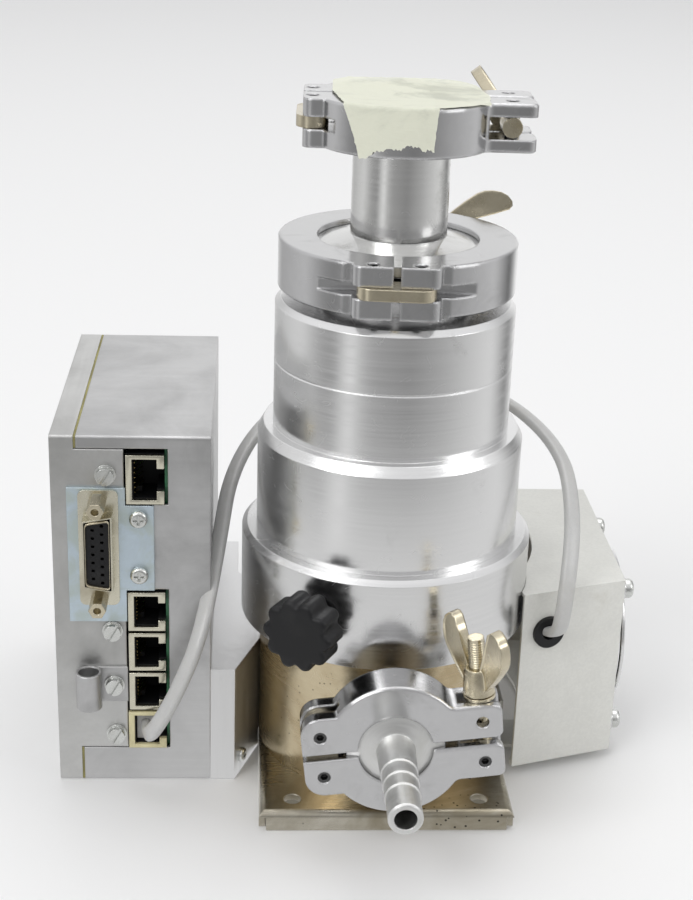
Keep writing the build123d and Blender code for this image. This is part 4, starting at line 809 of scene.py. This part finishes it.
# ---------------------------------------------------------------- studio
@dataclass
class Studio:
    """Camera, lamps, world and floor.

    Attributes:
        camera_at: The camera's place.
        pitch: Degrees that it looks down.
        yaw: Degrees that it is turned to the right.
        roll: Degrees that it is tilted.
        lens: Focal length in millimetres.
        lamps: Name, place, aim, size and power of each soft lamp.
        bands: Degrees round the object from the front, and the walls' grey there.
    """

    camera_at: Point = (-0.04429, -0.49419, 0.30448)
    pitch: float = 21.541
    yaw: float = -3.544
    roll: float = 1.954
    lens: float = 66.12
    lamps: tuple[tuple[str, Point, Point, float, float], ...] = (
        ("key", (-1.7, -1.6, 2.2), (0.0, 0.0, 0.1), 1.6, 32.0),
        ("fill", (2.3, -1.0, 1.4), (0.0, 0.0, 0.1), 1.2, 11.0),
        ("top", (0.2, 0.6, 2.8), (0.0, 0.0, 0.1), 2.0, 24.0),
    )
    bands: tuple[tuple[float, float], ...] = (
        (-180, 1.0), (-148, 0.55), (-99, 0.8), (-75, 0.42), (-60, 0.32), (-49, 0.8), (-42, 1.0), (-36, 0.6),
        (-23, 0.40), (11, 0.30), (45, 0.48), (60, 0.6), (99, 0.85), (118, 0.4), (128, 0.2), (140, 0.65),
        (150, 1.0), (180, 1.0),
    )

    def build(self) -> None:
        """Make the whole studio."""
        self.camera()
        self.world()
        for lamp in self.lamps:
            self.lamp(*lamp)
        self.floor()
        bpy.context.scene.view_settings.view_transform = "Standard"

    def camera(self) -> None:
        """Set the camera."""
        data = bpy.data.cameras.new("studio_camera")
        data.lens = self.lens
        data.sensor_width = 36.0
        data.clip_start = 0.01
        camera = bpy.data.objects.new("studio_camera", data)
        yaw, pitch, roll = (math.radians(a) for a in (self.yaw, self.pitch, self.roll))
        turn = Matrix.Rotation(yaw, 3, "Z")
        ahead = turn @ Vector((0.0, math.cos(pitch), -math.sin(pitch)))
        right = turn @ Vector((1.0, 0.0, 0.0))
        up = right.cross(ahead)
        tilted_right = right * math.cos(roll) + up * math.sin(roll)
        tilted_up = up * math.cos(roll) - right * math.sin(roll)
        basis = Matrix((tilted_right, tilted_up, -ahead)).transposed().to_4x4()
        camera.matrix_world = Matrix.Translation(self.camera_at) @ basis
        bpy.context.scene.collection.objects.link(camera)
        bpy.context.scene.camera = camera

    def lamp(self, name: str, place: Point, aim: Point, size: float, power: float) -> None:
        """Add one square soft lamp.

        Args:
            name: The lamp's name.
            place: Where it stands.
            aim: What it points at.
            size: Its side in metres.
            power: Its power in watts.
        """
        data = bpy.data.lights.new(name, "AREA")
        data.size = size
        data.energy = power
        lamp = bpy.data.objects.new(name, data)
        lamp.location = place
        lamp.rotation_euler = (Vector(aim) - Vector(place)).to_track_quat("-Z", "Y").to_euler()
        bpy.context.scene.collection.objects.link(lamp)

    def room(self, graph: Graph, x: Socket, y: Socket) -> Socket:
        """Grey of the room's walls round the object, as polished metal shows it.

        Args:
            graph: The graph that the nodes go into.
            x: Socket of the direction's X part.
            y: Socket of its Y part.

        Returns:
            The grey's colour socket.
        """
        turn = graph.maths("ARCTAN2", x, graph.maths("MULTIPLY", y, -1.0))
        share = graph.maths("DIVIDE", graph.maths("ADD", turn, math.pi), 2.0 * math.pi)
        ramp = graph.add("ShaderNodeValToRGB", {0: share})
        elements = ramp.color_ramp.elements
        elements.remove(elements[-1])
        for i, (degrees, level) in enumerate(self.bands):
            at = (degrees + 180.0) / 360.0
            element = elements[0] if i == 0 else elements.new(at)
            element.position = at
            element.color = (level, level, level, 1.0)
        return ramp.outputs[0]

    def world(self) -> None:
        """A pale room, with darker walls for the metal to reflect."""
        world = bpy.data.worlds.new("pale_room")
        bpy.context.scene.world = world
        world.use_nodes = True
        world.node_tree.nodes.clear()
        graph = Graph(world.node_tree)
        split = graph.add("ShaderNodeSeparateXYZ", {0: graph.add("ShaderNodeTexCoord").outputs["Generated"]}).outputs
        walls = self.room(graph, split[0], split[1])
        shine = graph.mix(graph.step(split[2], 0.1, 0.75), walls, (0.92, 0.92, 0.93))
        paths = graph.add("ShaderNodeLightPath").outputs
        colour = graph.mix(paths["Is Glossy Ray"], (0.58, 0.58, 0.585), shine)
        colour = graph.mix(paths["Is Camera Ray"], colour, (0.92, 0.92, 0.92))
        back = graph.add("ShaderNodeBackground", {"Color": colour, "Strength": 1.0})
        output = graph.add("ShaderNodeOutputWorld")
        graph.feed(output.inputs["Surface"], back.outputs[0])

    def floor(self) -> None:
        """A plain pale floor, which metal sees as the room's walls further out."""
        mesh = bpy.data.meshes.new("floor")
        shape = bmesh.new()
        bmesh.ops.create_circle(shape, cap_ends=True, radius=6.0, segments=96)
        shape.to_mesh(mesh)
        shape.free()
        material, graph, shader, place = start_material("floor_card")
        shader.inputs["Base Color"].default_value = (0.87, 0.87, 0.87, 1.0)
        shader.inputs["Roughness"].default_value = 0.55
        shader.inputs["Specular IOR Level"].default_value = 0.25
        split = graph.add("ShaderNodeSeparateXYZ", {0: place}).outputs
        out = graph.vector("LENGTH", place).outputs["Value"]
        walls = self.room(graph, split[0], split[1])
        shine = graph.mix(graph.step(out, 0.16, 0.42), (0.80, 0.80, 0.80), walls)
        glow = graph.add("ShaderNodeEmission", {"Color": shine, "Strength": 1.0})
        paths = graph.add("ShaderNodeLightPath").outputs
        both = graph.add("ShaderNodeMixShader", {0: paths["Is Glossy Ray"], 1: shader.outputs[0], 2: glow.outputs[0]})
        graph.feed(next(n for n in graph.tree.nodes if n.type == "OUTPUT_MATERIAL").inputs[0], both.outputs[0])
        floor = bpy.data.objects.new("floor", mesh)
        floor.data.materials.append(material)
        floor.location = (0.0, 0.0, -0.0002)
        bpy.context.scene.collection.objects.link(floor)


# ---------------------------------------------------------------- sub-assemblies
@dataclass
class PumpStack:
    """Foot plate, housings, reducer and what turns inside."""

    def dress(self) -> None:
        """Give each piece its finish."""
        WARDROBE.dress(PLATE, "foot_plate")
        WARDROBE.dress(BASE, "base_housing")
        WARDROBE.dress(DRIVE_RING, "drive_housing")
        WARDROBE.dress(TURNED, "rotor_housing", "rotor", "stator_discs", "drag_stator", "magnet_carrier")
        WARDROBE.dress(PIPE, "reducer", "centring_rings")
        WARDROBE.dress(BLACK_RUBBER, "seal_rings")
        WARDROBE.dress(SCREW, "housing_screws", "bearing_inner_ring", "bearing_outer_ring", "bearing_balls")
        WARDROBE.dress(COPPER, "motor_stator")
        WARDROBE.dress(NOZZLE, "hose_nozzle")


@dataclass
class FlangeClamp:
    """One hinged clamp with its bolt and wing nut.

    Attributes:
        name: Prefix of the clamp's nodes.
        wing: Corners of one wing, as radius and level in millimetres.
        wing_half: Half of the wing's thickness.
        hub: Radius and level of the hub's rings.
        thread_r: Radius of the bolt's thread.
        thread_pitch: Its pitch.
        thread_depth: Its depth.
        panel_margin: Width of the rim round a wing's sunk panel.
        panel_depth: Depth of that panel.
        bevel: Rounding of the nut's edges.
    """

    name: str
    wing: Outline = (
        (2.7, 2.6), (4.4, 2.2), (6.6, 4.6), (9.4, 8.0), (12.4, 12.2), (13.3, 14.6), (13.5, 17.2), (13.1, 20.0),
        (12.0, 22.3), (10.4, 23.7), (8.9, 23.9), (7.6, 22.9), (6.0, 18.4), (4.6, 13.6), (2.9, 9.2),
    )
    wing_half: float = 1.8
    hub: Outline = ((4.4, 0.0), (4.9, 0.5), (4.7, 2.0), (4.3, 7.6), (3.7, 8.8), (2.55, 8.9), (2.5, 8.0))
    thread_r: float = 2.62
    thread_pitch: float = 0.8
    thread_depth: float = 0.35
    panel_margin: float = 1.5
    panel_depth: float = 0.45
    bevel: float = 0.35

    def dress(self) -> None:
        """Give each piece its finish and make the nut and the thread."""
        WARDROBE.dress(CASTING, f"{self.name}_pivot_half", f"{self.name}_nut_half")
        WARDROBE.dress(NICKEL, f"{self.name}_washer", f"{self.name}_swing_bolt", f"{self.name}_wing_nut")
        self.nut()
        self.thread()

    @property
    def body(self) -> str:
        """Prefix of the clamp's bodies and joints."""
        return self.name.removesuffix("_clamp")

    def nut(self) -> None:
        """Forged wing nut with sunk panels on its wings."""
        base, axis, wings, _ = along_joint(f"{self.name}_wing_nut", f"{self.body}_nut_spin")
        shape = Shape()
        shape.lathe(axes(base, wings, axis), self.hub, 36)
        faces = []
        for way in (1.0, -1.0):
            out = wings * way
            place = axes(base, out, out.cross(axis))
            faces += shape.prism(place, self.wing, -self.wing_half, self.wing_half)
        shape.panel(faces, self.panel_margin, self.panel_depth)
        piece = new_piece(f"{self.body}_forged_nut", shape.mesh("forged_nut", self.bevel), NICKEL)
        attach(piece, f"{self.body}_nut")
        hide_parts(f"{self.name}_wing_nut")

    def thread(self) -> None:
        """Thread on the bolt above the hub."""
        base, axis, wings, _ = along_joint(f"{self.name}_wing_nut", f"{self.body}_nut_spin")
        bolt = frame["nodes"][f"{self.name}_swing_bolt"].data.vertices
        top = max((v.co - base).dot(axis) for v in bolt) * MM - 0.3
        low = self.hub[-1][1] + 0.2
        rings = [(self.thread_r - self.thread_depth, low)]
        level = low
        while level + self.thread_pitch < top:
            rings.append((self.thread_r, level + 0.5 * self.thread_pitch))
            rings.append((self.thread_r - self.thread_depth, level + self.thread_pitch))
            level += self.thread_pitch
        rings.append((self.thread_r - 0.5, top))
        shape = Shape()
        shape.lathe(axes(base, wings, axis), rings, 28)
        piece = new_piece(f"{self.body}_thread", shape.mesh("thread"), NICKEL)
        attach(piece, f"{self.body}_bolt")


@dataclass
class VentValve:
    """The black knob and its stem.

    Attributes:
        rim: Radius of the knob's lobes in millimetres.
        dip: Depth of the dips between them.
        lobes: Number of lobes.
        neck: Length of the plain neck behind the lobes.
    """

    rim: float = 11.6
    dip: float = 1.7
    lobes: int = 10
    neck: float = 2.6

    def dress(self) -> None:
        """Finish the stem and make the knob."""
        WARDROBE.dress(SCREW, "vent_stem")
        WARDROBE.dress(BLACK_PLASTIC, "vent_knob")
        base, axis, _, length = along_joint("vent_knob", "vent_knob_turn")
        top = length * MM
        rings = (
            (6.4, 0.0, 0.0), (6.8, 0.4, 0.0), (6.8, self.neck - 0.5, 0.0), (self.rim - 1.4, self.neck, 0.8),
            (self.rim - 0.5, self.neck + 0.6, 1.0), (self.rim - 0.1, self.neck + 1.6, 1.0), (self.rim, top - 1.3, 1.0),
            (self.rim - 0.25, top - 0.6, 1.0), (self.rim - 0.8, top - 0.15, 0.95), (self.rim - 1.5, top, 0.8),
            (self.rim - 3.4, top - 0.05, 0.1), (self.rim - 4.4, top - 0.05, 0.0),
        )
        shape = Shape()
        place = axes(base, UP, axis)
        shape.lathe(place, [(r, z) for r, z, _ in rings], 120, self.lobes, [self.dip * d for _, _, d in rings])
        piece = new_piece("lobed_knob", shape.mesh("lobed_knob"), BLACK_PLASTIC)
        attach(piece, "vent_knob")
        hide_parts("vent_knob")


@dataclass
class ModularJack:
    """One modular jack on its side, with a metal shell, a dark body and thin contacts.

    Attributes:
        name: The piece's name.
        low: Lowest corner of the jack in metres.
        high: Its highest corner.
        face: Finish of its shell.
        contacts: Number of contacts.
        sheet: Depth of the shell in millimetres.
        back: Thickness of the body's back wall.
        side: Width of the frame left of the mouth.
        rim: Its width above and below the mouth.
        latch: Its width right of the mouth, and half of what the contacts leave free at the ends.
        block: Corners of the small block low in the mouth.
        contact: Corners of one contact.
    """

    name: str
    low: Vector
    high: Vector
    face: Union[MetalFinish, CoatFinish]
    contacts: int = 8
    sheet: float = 1.6
    back: float = 1.4
    side: float = 1.9
    rim: float = 1.3
    latch: float = 2.3
    block: Outline = ((2.6, 1.7), (4.6, 1.7), (4.6, 3.4), (2.6, 3.4))
    contact: Outline = ((0.0, 4.0), (0.25, 4.0), (2.6, 9.5), (2.3, 9.6))

    def outline(self, grow: float = 0.0) -> Outline:
        """The open frame round the mouth and its latch notch, in millimetres from the lower left corner.

        Args:
            grow: Shrinks the mouth by this much.

        Returns:
            The corners, counter-clockwise.
        """
        wide, tall = ((self.high - self.low)[i] * MM for i in (0, 2))
        left, right = self.side + grow, wide - self.latch
        foot, head = self.rim + grow, tall - self.rim - grow
        notch_low, notch_high = tall * 0.27 + grow, tall * 0.73 - grow
        return (
            (0, 0), (wide, 0), (wide, notch_low), (right, notch_low), (right, foot), (left, foot), (left, head),
            (right, head), (right, notch_high), (wide, notch_high), (wide, tall), (0, tall),
        )

    def build(self, nodes: Sequence[str] = ()) -> None:
        """Make the jack's pieces.

        Args:
            nodes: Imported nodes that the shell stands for.
        """
        place = axes(self.low, RIGHT, FORWARD)
        deep = (self.high - self.low)[1] * MM
        shell = Shape()
        shell.prism(place, self.outline(), -self.sheet, 0.0)
        piece = new_piece(f"{self.name}_shell", shell.mesh("shell", 0.18), self.face)
        body = Shape()
        body.prism(place, self.outline(0.25), -deep + self.back, -self.sheet)
        wide, tall = ((self.high - self.low)[i] * MM for i in (0, 2))
        body.prism(place, ((0, 0), (wide, 0), (wide, tall), (0, tall)), -deep, -deep + self.back)
        body.prism(place, self.block, -deep + self.back, -6.5)
        inner = new_piece(f"{self.name}_body", body.mesh("jack_body"), DARK)
        pins = Shape()
        pitch = (tall - 2.0 * self.latch) / (self.contacts - 1)
        for i in range(self.contacts):
            foot = place @ Vector((0.0023, (self.latch + pitch * i) / MM, 0.0))
            pins.prism(axes(foot, RIGHT, UP), self.contact, -0.16, 0.16)
        wires = new_piece(f"{self.name}_contacts", pins.mesh("contacts"), GOLD)
        for part in (piece, inner, wires):
            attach(part, "pump")
        for node in nodes:
            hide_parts(node)


@dataclass
class ElectronicsBox:
    """Sheet metal box with its connectors.

    Attributes:
        small_jack: Height of one of the three small jacks, in metres.
        mouth: Radius and level of the rings of one pole's mouth, in millimetres.
        pole_pitch: Distance between poles in a column, in millimetres.
        columns: Place across the insert and number of poles of each column.
    """

    small_jack: float = 0.0135
    mouth: Outline = ((0.95, -0.1), (0.95, 0.02), (0.8, 0.02), (0.75, -0.2))
    pole_pitch: float = 2.74
    columns: Outline = ((0.31, 8), (0.69, 7))

    def dress(self) -> None:
        """Give each piece its finish."""
        WARDROBE.dress(CASE, "box_case", "cable_clip")
        WARDROBE.dress(COVER, "box_cover")
        WARDROBE.dress(OLIVE, "box_gasket")
        WARDROBE.dress(ZINC, "connector_plate")
        WARDROBE.dress(SHELL, "socket_shell", "large_jack", "small_jacks")
        WARDROBE.dress(NICKEL, "hex_standoffs")
        WARDROBE.dress(BLACK_RUBBER, "socket_insert")
        WARDROBE.dress(CREAM, "fan_jack")
        WARDROBE.dress(SCREW, "slotted_screws", "cross_screws")
        WARDROBE.dress(BOARD, "circuit_board")
        WARDROBE.dress(BLOCK, "adapter_block")
        self.jacks()
        self.socket()

    def jacks(self) -> None:
        """Make the jacks from the boxes of their solids."""
        low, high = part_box("large_jack")
        ModularJack("large_jack_port", low, high, SHELL).build(["large_jack"])
        low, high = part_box("small_jacks")
        step = (high.z - low.z - self.small_jack) / 2.0
        for i, name in enumerate(("first", "second", "third")):
            foot = Vector((low.x, low.y, low.z + step * i))
            head = Vector((high.x, high.y, foot.z + self.small_jack))
            ModularJack(f"{name}_jack_port", foot, head, SHELL).build(["small_jacks"] if i == 0 else ())
        low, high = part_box("fan_jack")
        ModularJack("fan_jack_port", low, high, CREAM, 4).build(["fan_jack"])

    def socket(self) -> None:
        """Drawn rim round the socket's insert, and the mouths of its poles as near-black cups, darker than the insert:
        painted shade of the pole holes.
        """
        points = [v.co for v in frame["nodes"]["socket_insert"].data.vertices]
        front = min(p.y for p in points)
        face = [p for p in points if p.y < front + 0.0002]
        low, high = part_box("socket_insert")
        place = axes(Vector((low.x, front, low.z)), RIGHT, FORWARD)
        wide, tall = (high.x - low.x) * MM, (high.z - low.z) * MM
        left = [p.z for p in face if p.x < low.x + 0.0015]
        right = [p.z for p in face if p.x > high.x - 0.0015]
        tapers = [(tall - (max(side) - min(side)) * MM) / 2.0 for side in (left, right)]
        corners = ((0.0, tapers[0]), (wide, tapers[1]), (wide, tall - tapers[1]), (0.0, tall - tapers[0]))
        outline = self.rounded(corners, 1.2)
        rim = Shape()
        rim.ring(place, outline, 0.55, -1.5, 0.9)
        piece = new_piece("socket_rim", rim.mesh("socket_rim", 0.12), NICKEL)
        # The mouths are darker than the insert round them: painted shade of the holes.
        mouths = Shape()
        for share, count in self.columns:
            for i in range(int(count)):
                z = tall / 2.0 + (i - (count - 1) / 2.0) * self.pole_pitch
                centre = place @ Vector((wide * share / MM, z / MM, 0.0))
                mouths.lathe(axes(centre, RIGHT, FORWARD), self.mouth, 20)
        holes = new_piece("pole_mouths", mouths.mesh("pole_mouths"), DARK)
        for part, slot in ((piece, "bright_nickel"), (holes, "black_plastic")):
            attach(part, "pump")

    @staticmethod
    def rounded(corners: Outline, radius: float) -> Outline:
        """Round an outline's corners.

        Args:
            corners: The corners, counter-clockwise.
            radius: Distance from each corner at which the rounding starts.

        Returns:
            The rounded outline.
        """
        points = []
        for i, corner in enumerate(corners):
            here = Vector(corner)
            back = (Vector(corners[i - 1]) - here).normalized() * radius
            ahead = (Vector(corners[(i + 1) % len(corners)]) - here).normalized() * radius
            for t in (0.0, 0.25, 0.5, 0.75, 1.0):
                points.append(tuple(here + back * (1.0 - t) ** 2 + ahead * t**2))
        return points


@dataclass
class CoolingFan:
    """Painted duct, fan, guard and grommet.

    Attributes:
        rings: Radii of the guard's rings in metres.
        wire: Radius of its wire.
        proud: How far its rings stand in front of the duct's side.
        dimples: Place along X and height of the pressed dots.
        dot: Radius and level of one dot's rings, in millimetres.
        eyelet: Radius of the arms' end loops.
        ring_step: How much further out each smaller ring lies.
    """

    rings: tuple[float, ...] = (0.0085, 0.0172, 0.0260)
    wire: float = 0.0008
    proud: float = 0.0036
    dimples: tuple[tuple[float, float], ...] = ((0.0535, 0.0209), (0.0642, 0.0213))
    dot: Outline = ((2.1, -0.2), (2.1, 0.0), (1.9, 0.16), (1.6, 0.05), (1.2, 0.02))
    eyelet: float = 0.0034
    ring_step: float = 0.0004

    def dress(self) -> None:
        """Give each piece its finish."""
        WARDROBE.dress(PAINT, "fan_duct")
        WARDROBE.dress(BLACK_RUBBER, "grommet")
        WARDROBE.dress(BLACK_PLASTIC, "fan_frame", "fan_rotor")
        WARDROBE.dress(BRIGHT, "wire_guard")
        WARDROBE.dress(SCREW, "guard_screws")
        self.guard()
        self.pressed_dots()

    def guard(self) -> None:
        """Chromed wire guard of rings on four bent arms."""
        pivot = Vector(joint_of("fan_spin")["pos_m"])
        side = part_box("fan_duct")[1].x
        low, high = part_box("guard_screws")
        half = (high.y - low.y) / 2.0 - 0.0033
        curve = bpy.data.curves.new("guard_wires", "CURVE")
        curve.dimensions = "3D"
        curve.bevel_depth = self.wire
        curve.bevel_resolution = 3
        curve.resolution_u = 6

        def wire(points: Sequence[Vector], closed: bool) -> None:
            """Add one smooth wire through control points.

            Args:
                points: The control points.
                closed: Whether the wire is a ring.
            """
            spline = curve.splines.new("NURBS")
            spline.points.add(len(points) - 1)
            for point, place in zip(spline.points, points):
                point.co = (*place, 1.0)
            spline.order_u = 3
            spline.use_endpoint_u = not closed
            spline.use_cyclic_u = closed

        for k, radius in enumerate(self.rings):
            depth = side + self.proud + self.ring_step * (len(self.rings) - 1 - k) - self.wire
            ring = [
                Vector((depth, pivot.y + radius * math.cos(a), pivot.z + radius * math.sin(a)))
                for a in (2.0 * math.pi * i / 32 for i in range(32))
            ]
            wire(ring, True)
        behind = side + self.proud - 2.4 * self.wire
        for way_y in (-1.0, 1.0):
            for way_z in (-1.0, 1.0):
                out = Vector((0.0, way_y, way_z)).normalized()
                centre = Vector((0.0, pivot.y, pivot.z))
                eye = centre + Vector((side + self.wire, way_y * half, way_z * half))
                across = Vector((0.0, -way_z, way_y)).normalized()
                loop = [
                    eye + (out * math.cos(a) + across * math.sin(a)) * self.eyelet
                    for a in (math.pi + 2.0 * math.pi * i / 12 for i in range(13))
                ]
                inner = centre + Vector((behind, 0.0, 0.0)) + out * (self.rings[0] - 0.0008)
                outer = centre + Vector((behind, 0.0, 0.0)) + out * (self.rings[-1] + 0.0012)
                wire([inner, outer, outer.lerp(loop[0], 0.6), *loop], False)
        guard = bpy.data.objects.new("wire_basket", curve)
        bpy.context.scene.collection.objects.link(guard)
        curve.materials.append(WARDROBE.get(BRIGHT))
        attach(guard, "pump")
        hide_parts("wire_guard")

    def pressed_dots(self) -> None:
        """Two shallow pressed dots low on the inside of the duct's rear wall."""
        duct = frame["nodes"]["fan_duct"].data
        front = min(duct.polygons, key=lambda p: p.normal.y - MM * p.area)
        for i, (x, z) in enumerate(self.dimples):
            depth = front.center.y - (x - front.center.x) * front.normal.x / front.normal.y
            place = axes(Vector((x, depth, z)), UP, front.normal)
            shape = Shape()
            shape.lathe(place, self.dot, 32)
            dot = new_piece(f"pressed_dot_{i + 1}", shape.mesh("pressed_dot"), PAINT)
            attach(dot, "pump")


@dataclass
class FanCable:
    """The flat grey lead from the fan duct to the lowest jack.

    Attributes:
        route: Control points of its line, in millimetres.
        width: Width of the sheath in metres.
        thickness: Its thickness in metres.
    """

    route: tuple[Point, ...] = ()
    width: float = 0.0054
    thickness: float = 0.0034

    def build(self) -> bpy.types.Object:
        curve = bpy.data.curves.new("fan_lead", "CURVE")
        curve.dimensions = "3D"
        curve.resolution_u = 10
        spline = curve.splines.new("NURBS")
        spline.points.add(len(self.route) - 1)
        for point, place in zip(spline.points, self.route):
            point.co = (*(c / MM for c in place), 1.0)
        spline.order_u = 3
        spline.use_endpoint_u = True
        curve.bevel_mode = "OBJECT"
        curve.bevel_object = self.section()
        curve.use_fill_caps = True
        cable = bpy.data.objects.new("fan_lead", curve)
        bpy.context.scene.collection.objects.link(cable)
        curve.materials.append(WARDROBE.get(CORD))
        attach(cable, "pump")
        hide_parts("fan_cable")
        return cable

    def section(self) -> bpy.types.Object:
        """The sheath's rounded flat section, as a hidden curve."""
        curve = bpy.data.curves.new("sheath_section", "CURVE")
        curve.dimensions = "2D"
        spline = curve.splines.new("POLY")
        count = 16
        spline.points.add(count - 1)
        for i, point in enumerate(spline.points):
            turn = 2.0 * math.pi * i / count
            x = math.copysign(abs(math.cos(turn)) ** 0.7, math.cos(turn)) * self.width / 2.0
            y = math.copysign(abs(math.sin(turn)) ** 0.7, math.sin(turn)) * self.thickness / 2.0
            point.co = (x, y, 0.0, 1.0)
        spline.use_cyclic_u = True
        section = bpy.data.objects.new("sheath_section", curve)
        bpy.context.scene.collection.objects.link(section)
        section.hide_render = True
        return section

    def dress(self) -> None:
        """Build the lead and finish its plug."""
        self.build()
        WARDROBE.dress(CORD, "cable_plug")


ROUTE: tuple[Point, ...] = (
    (51.41, -12.29, 53.1), (55.1, -23.7, 53.1), (56.2, -26.5, 66.5), (60.6, -9.0, 90.5), (60.0, 20.0, 104.0),
    (38.0, 47.0, 115.0), (2.0, 57.0, 117.0), (-33.0, 48.0, 109.0), (-50.6, 17.0, 97.5), (-54.8, -9.0, 77.0),
    (-59.5, -33.5, 58.5), (-67.0, -35.0, 39.5), (-73.6, -33.5, 26.0), (-77.1, -28.5, 19.9), (-77.4, -20.6, 19.2),
)


@dataclass
class TapeCover:
    """Paper tape laid over the top flange and folded down the clamp's front.

    Attributes:
        rim: Radius of the clamp, in metres.
        long_strip: Level along Y of rows of the long strip, with its left and right edge there, in millimetres.
        patch: The same for the torn patch on its right.
        step: Size of the mesh cells.
    """

    rim: float = 0.0274
    long_strip: tuple[Point, ...] = (
        (26.5, -15.5, 6.5), (20.0, -20.5, 8.0), (0.0, -21.5, 8.0), (-20.0, -19.0, 8.0), (-26.5, -17.2, 7.6),
        (-33.0, -15.5, 7.0), (-39.0, -14.2, 6.6),
    )
    patch: tuple[Point, ...] = (
        (28.0, 2.0, 12.5), (24.0, -2.0, 19.5), (16.0, -4.0, 23.6), (-4.0, -4.0, 25.2), (-15.0, -3.0, 23.6),
        (-21.0, -2.0, 17.5), (-25.6, 0.0, 9.0),
    )
    step: float = 0.7

    def dress(self) -> None:
        """Lay both strips."""
        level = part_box("top_clamp_pivot_half")[1].z
        self.strip("tape_strip", self.long_strip, level + 0.0004, 3, ["tape_cover"])
        self.strip("tape_patch", self.patch, level + 0.0002, 8, [])

    def strip(
        self, name: str, rows: Sequence[Point], level: float, seed: int, stands_for: Sequence[str]
    ) -> bpy.types.Object:
        """Lay one strip of tape from the back to the front.

        Args:
            name: The piece's name.
            rows: Level along Y, left and right edge of each row, in millimetres.
            level: Height of the flat stretch in metres.
            seed: Seed of its torn ends.
            stands_for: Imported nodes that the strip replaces.

        Returns:
            The piece.
        """
        dice = random.Random(seed)
        across = round(max(right - left for _, left, right in rows) / self.step)
        along = round((rows[0][0] - rows[-1][0]) / self.step)
        rough = [dice.uniform(-1.0, 1.0) for _ in range(across + 5)]
        tears = [sum(rough[i: i + 5]) / 5.0 + 0.35 * rough[i + 2] for i in range(across + 1)]
        work = bmesh.new()
        grid = []
        for k in range(along + 1):
            share = k / along
            row = []
            for i in range(across + 1):
                v = rows[0][0] + (rows[-1][0] - rows[0][0]) * share
                v += 1.3 * tears[i] * (share**6 + 0.5 * (1.0 - share) ** 8)
                left, right = self.edges(rows, v)
                fray = 0.25 * noise.noise(Vector((v * 0.7, seed, 0.0)))
                x = (left + fray + (right - left) * i / across) / MM
                row.append(work.verts.new(self.lay(x, v / MM, level, seed)))
            grid.append(row)
        for one, two in zip(grid, grid[1:]):
            for i in range(across):
                work.faces.new((one[i], two[i], two[i + 1], one[i + 1]))
        bmesh.ops.recalc_face_normals(work, faces=work.faces[:])
        mesh = bpy.data.meshes.new(name)
        work.to_mesh(mesh)
        work.free()
        mesh.shade_smooth()
        piece = new_piece(name, mesh, TAPE)
        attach(piece, "pump")
        if stands_for:
            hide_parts(*stands_for)
        return piece

    @staticmethod
    def edges(rows: Sequence[Point], v: float) -> tuple[float, float]:
        """Left and right edge of a strip at a level along Y, in millimetres.

        Args:
            rows: Level, left and right edge of each row.
            v: The level.

        Returns:
            The left and the right edge.
        """
        for one, two in zip(rows, rows[1:]):
            if v >= two[0]:
                share = max(0.0, min(1.0, (one[0] - v) / (one[0] - two[0])))
                return one[1] + (two[1] - one[1]) * share, one[2] + (two[2] - one[2]) * share
        return rows[-1][1], rows[-1][2]

    def lay(self, x: float, v: float, level: float, seed: int) -> Vector:
        """Where a point of the flat tape lies once it is laid over the rim.

        Args:
            x: Its place along X.
            v: Its place along the strip, which runs along Y.
            level: Height of the flat stretch.
            seed: Seed of the wrinkles.

        Returns:
            The point in the shared frame.
        """
        place = Vector((x * 190.0 + seed, v * 150.0, 0.0))
        soft = 0.00022 * (1.0 - abs(noise.noise(place)) ** 0.6) + 0.00005 * noise.noise(place * 3.1)
        edge = -math.sqrt(max(1e-8, self.rim**2 - x**2))
        if v >= edge:
            sag = 0.0007 * max(0.0, 1.0 - (x * x + v * v) / 0.0155**2)
            return Vector((x, v, level + soft - sag))
        out = 1.0 + (0.0004 + soft) / self.rim
        return Vector((x * out, edge * out, level - (edge - v) * 0.98))


def main() -> None:
    """Build the studio and dress each sub-assembly in order."""
    logging.basicConfig(level=logging.INFO, format="%(message)s")
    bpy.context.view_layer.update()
    Studio().build()
    sub_assemblies = [
        FanCable(ROUTE), PumpStack(), *[FlangeClamp(name) for name in CLAMPS], VentValve(), ElectronicsBox(),
        CoolingFan(), TapeCover(),
    ]
    for part in sub_assemblies:
        part.dress()
    WARDROBE.dress(NICKEL, "clamp_links")
    WARDROBE.dress(BLACKENED, "clamp_pins")


if __name__ == "__main__":
    main()
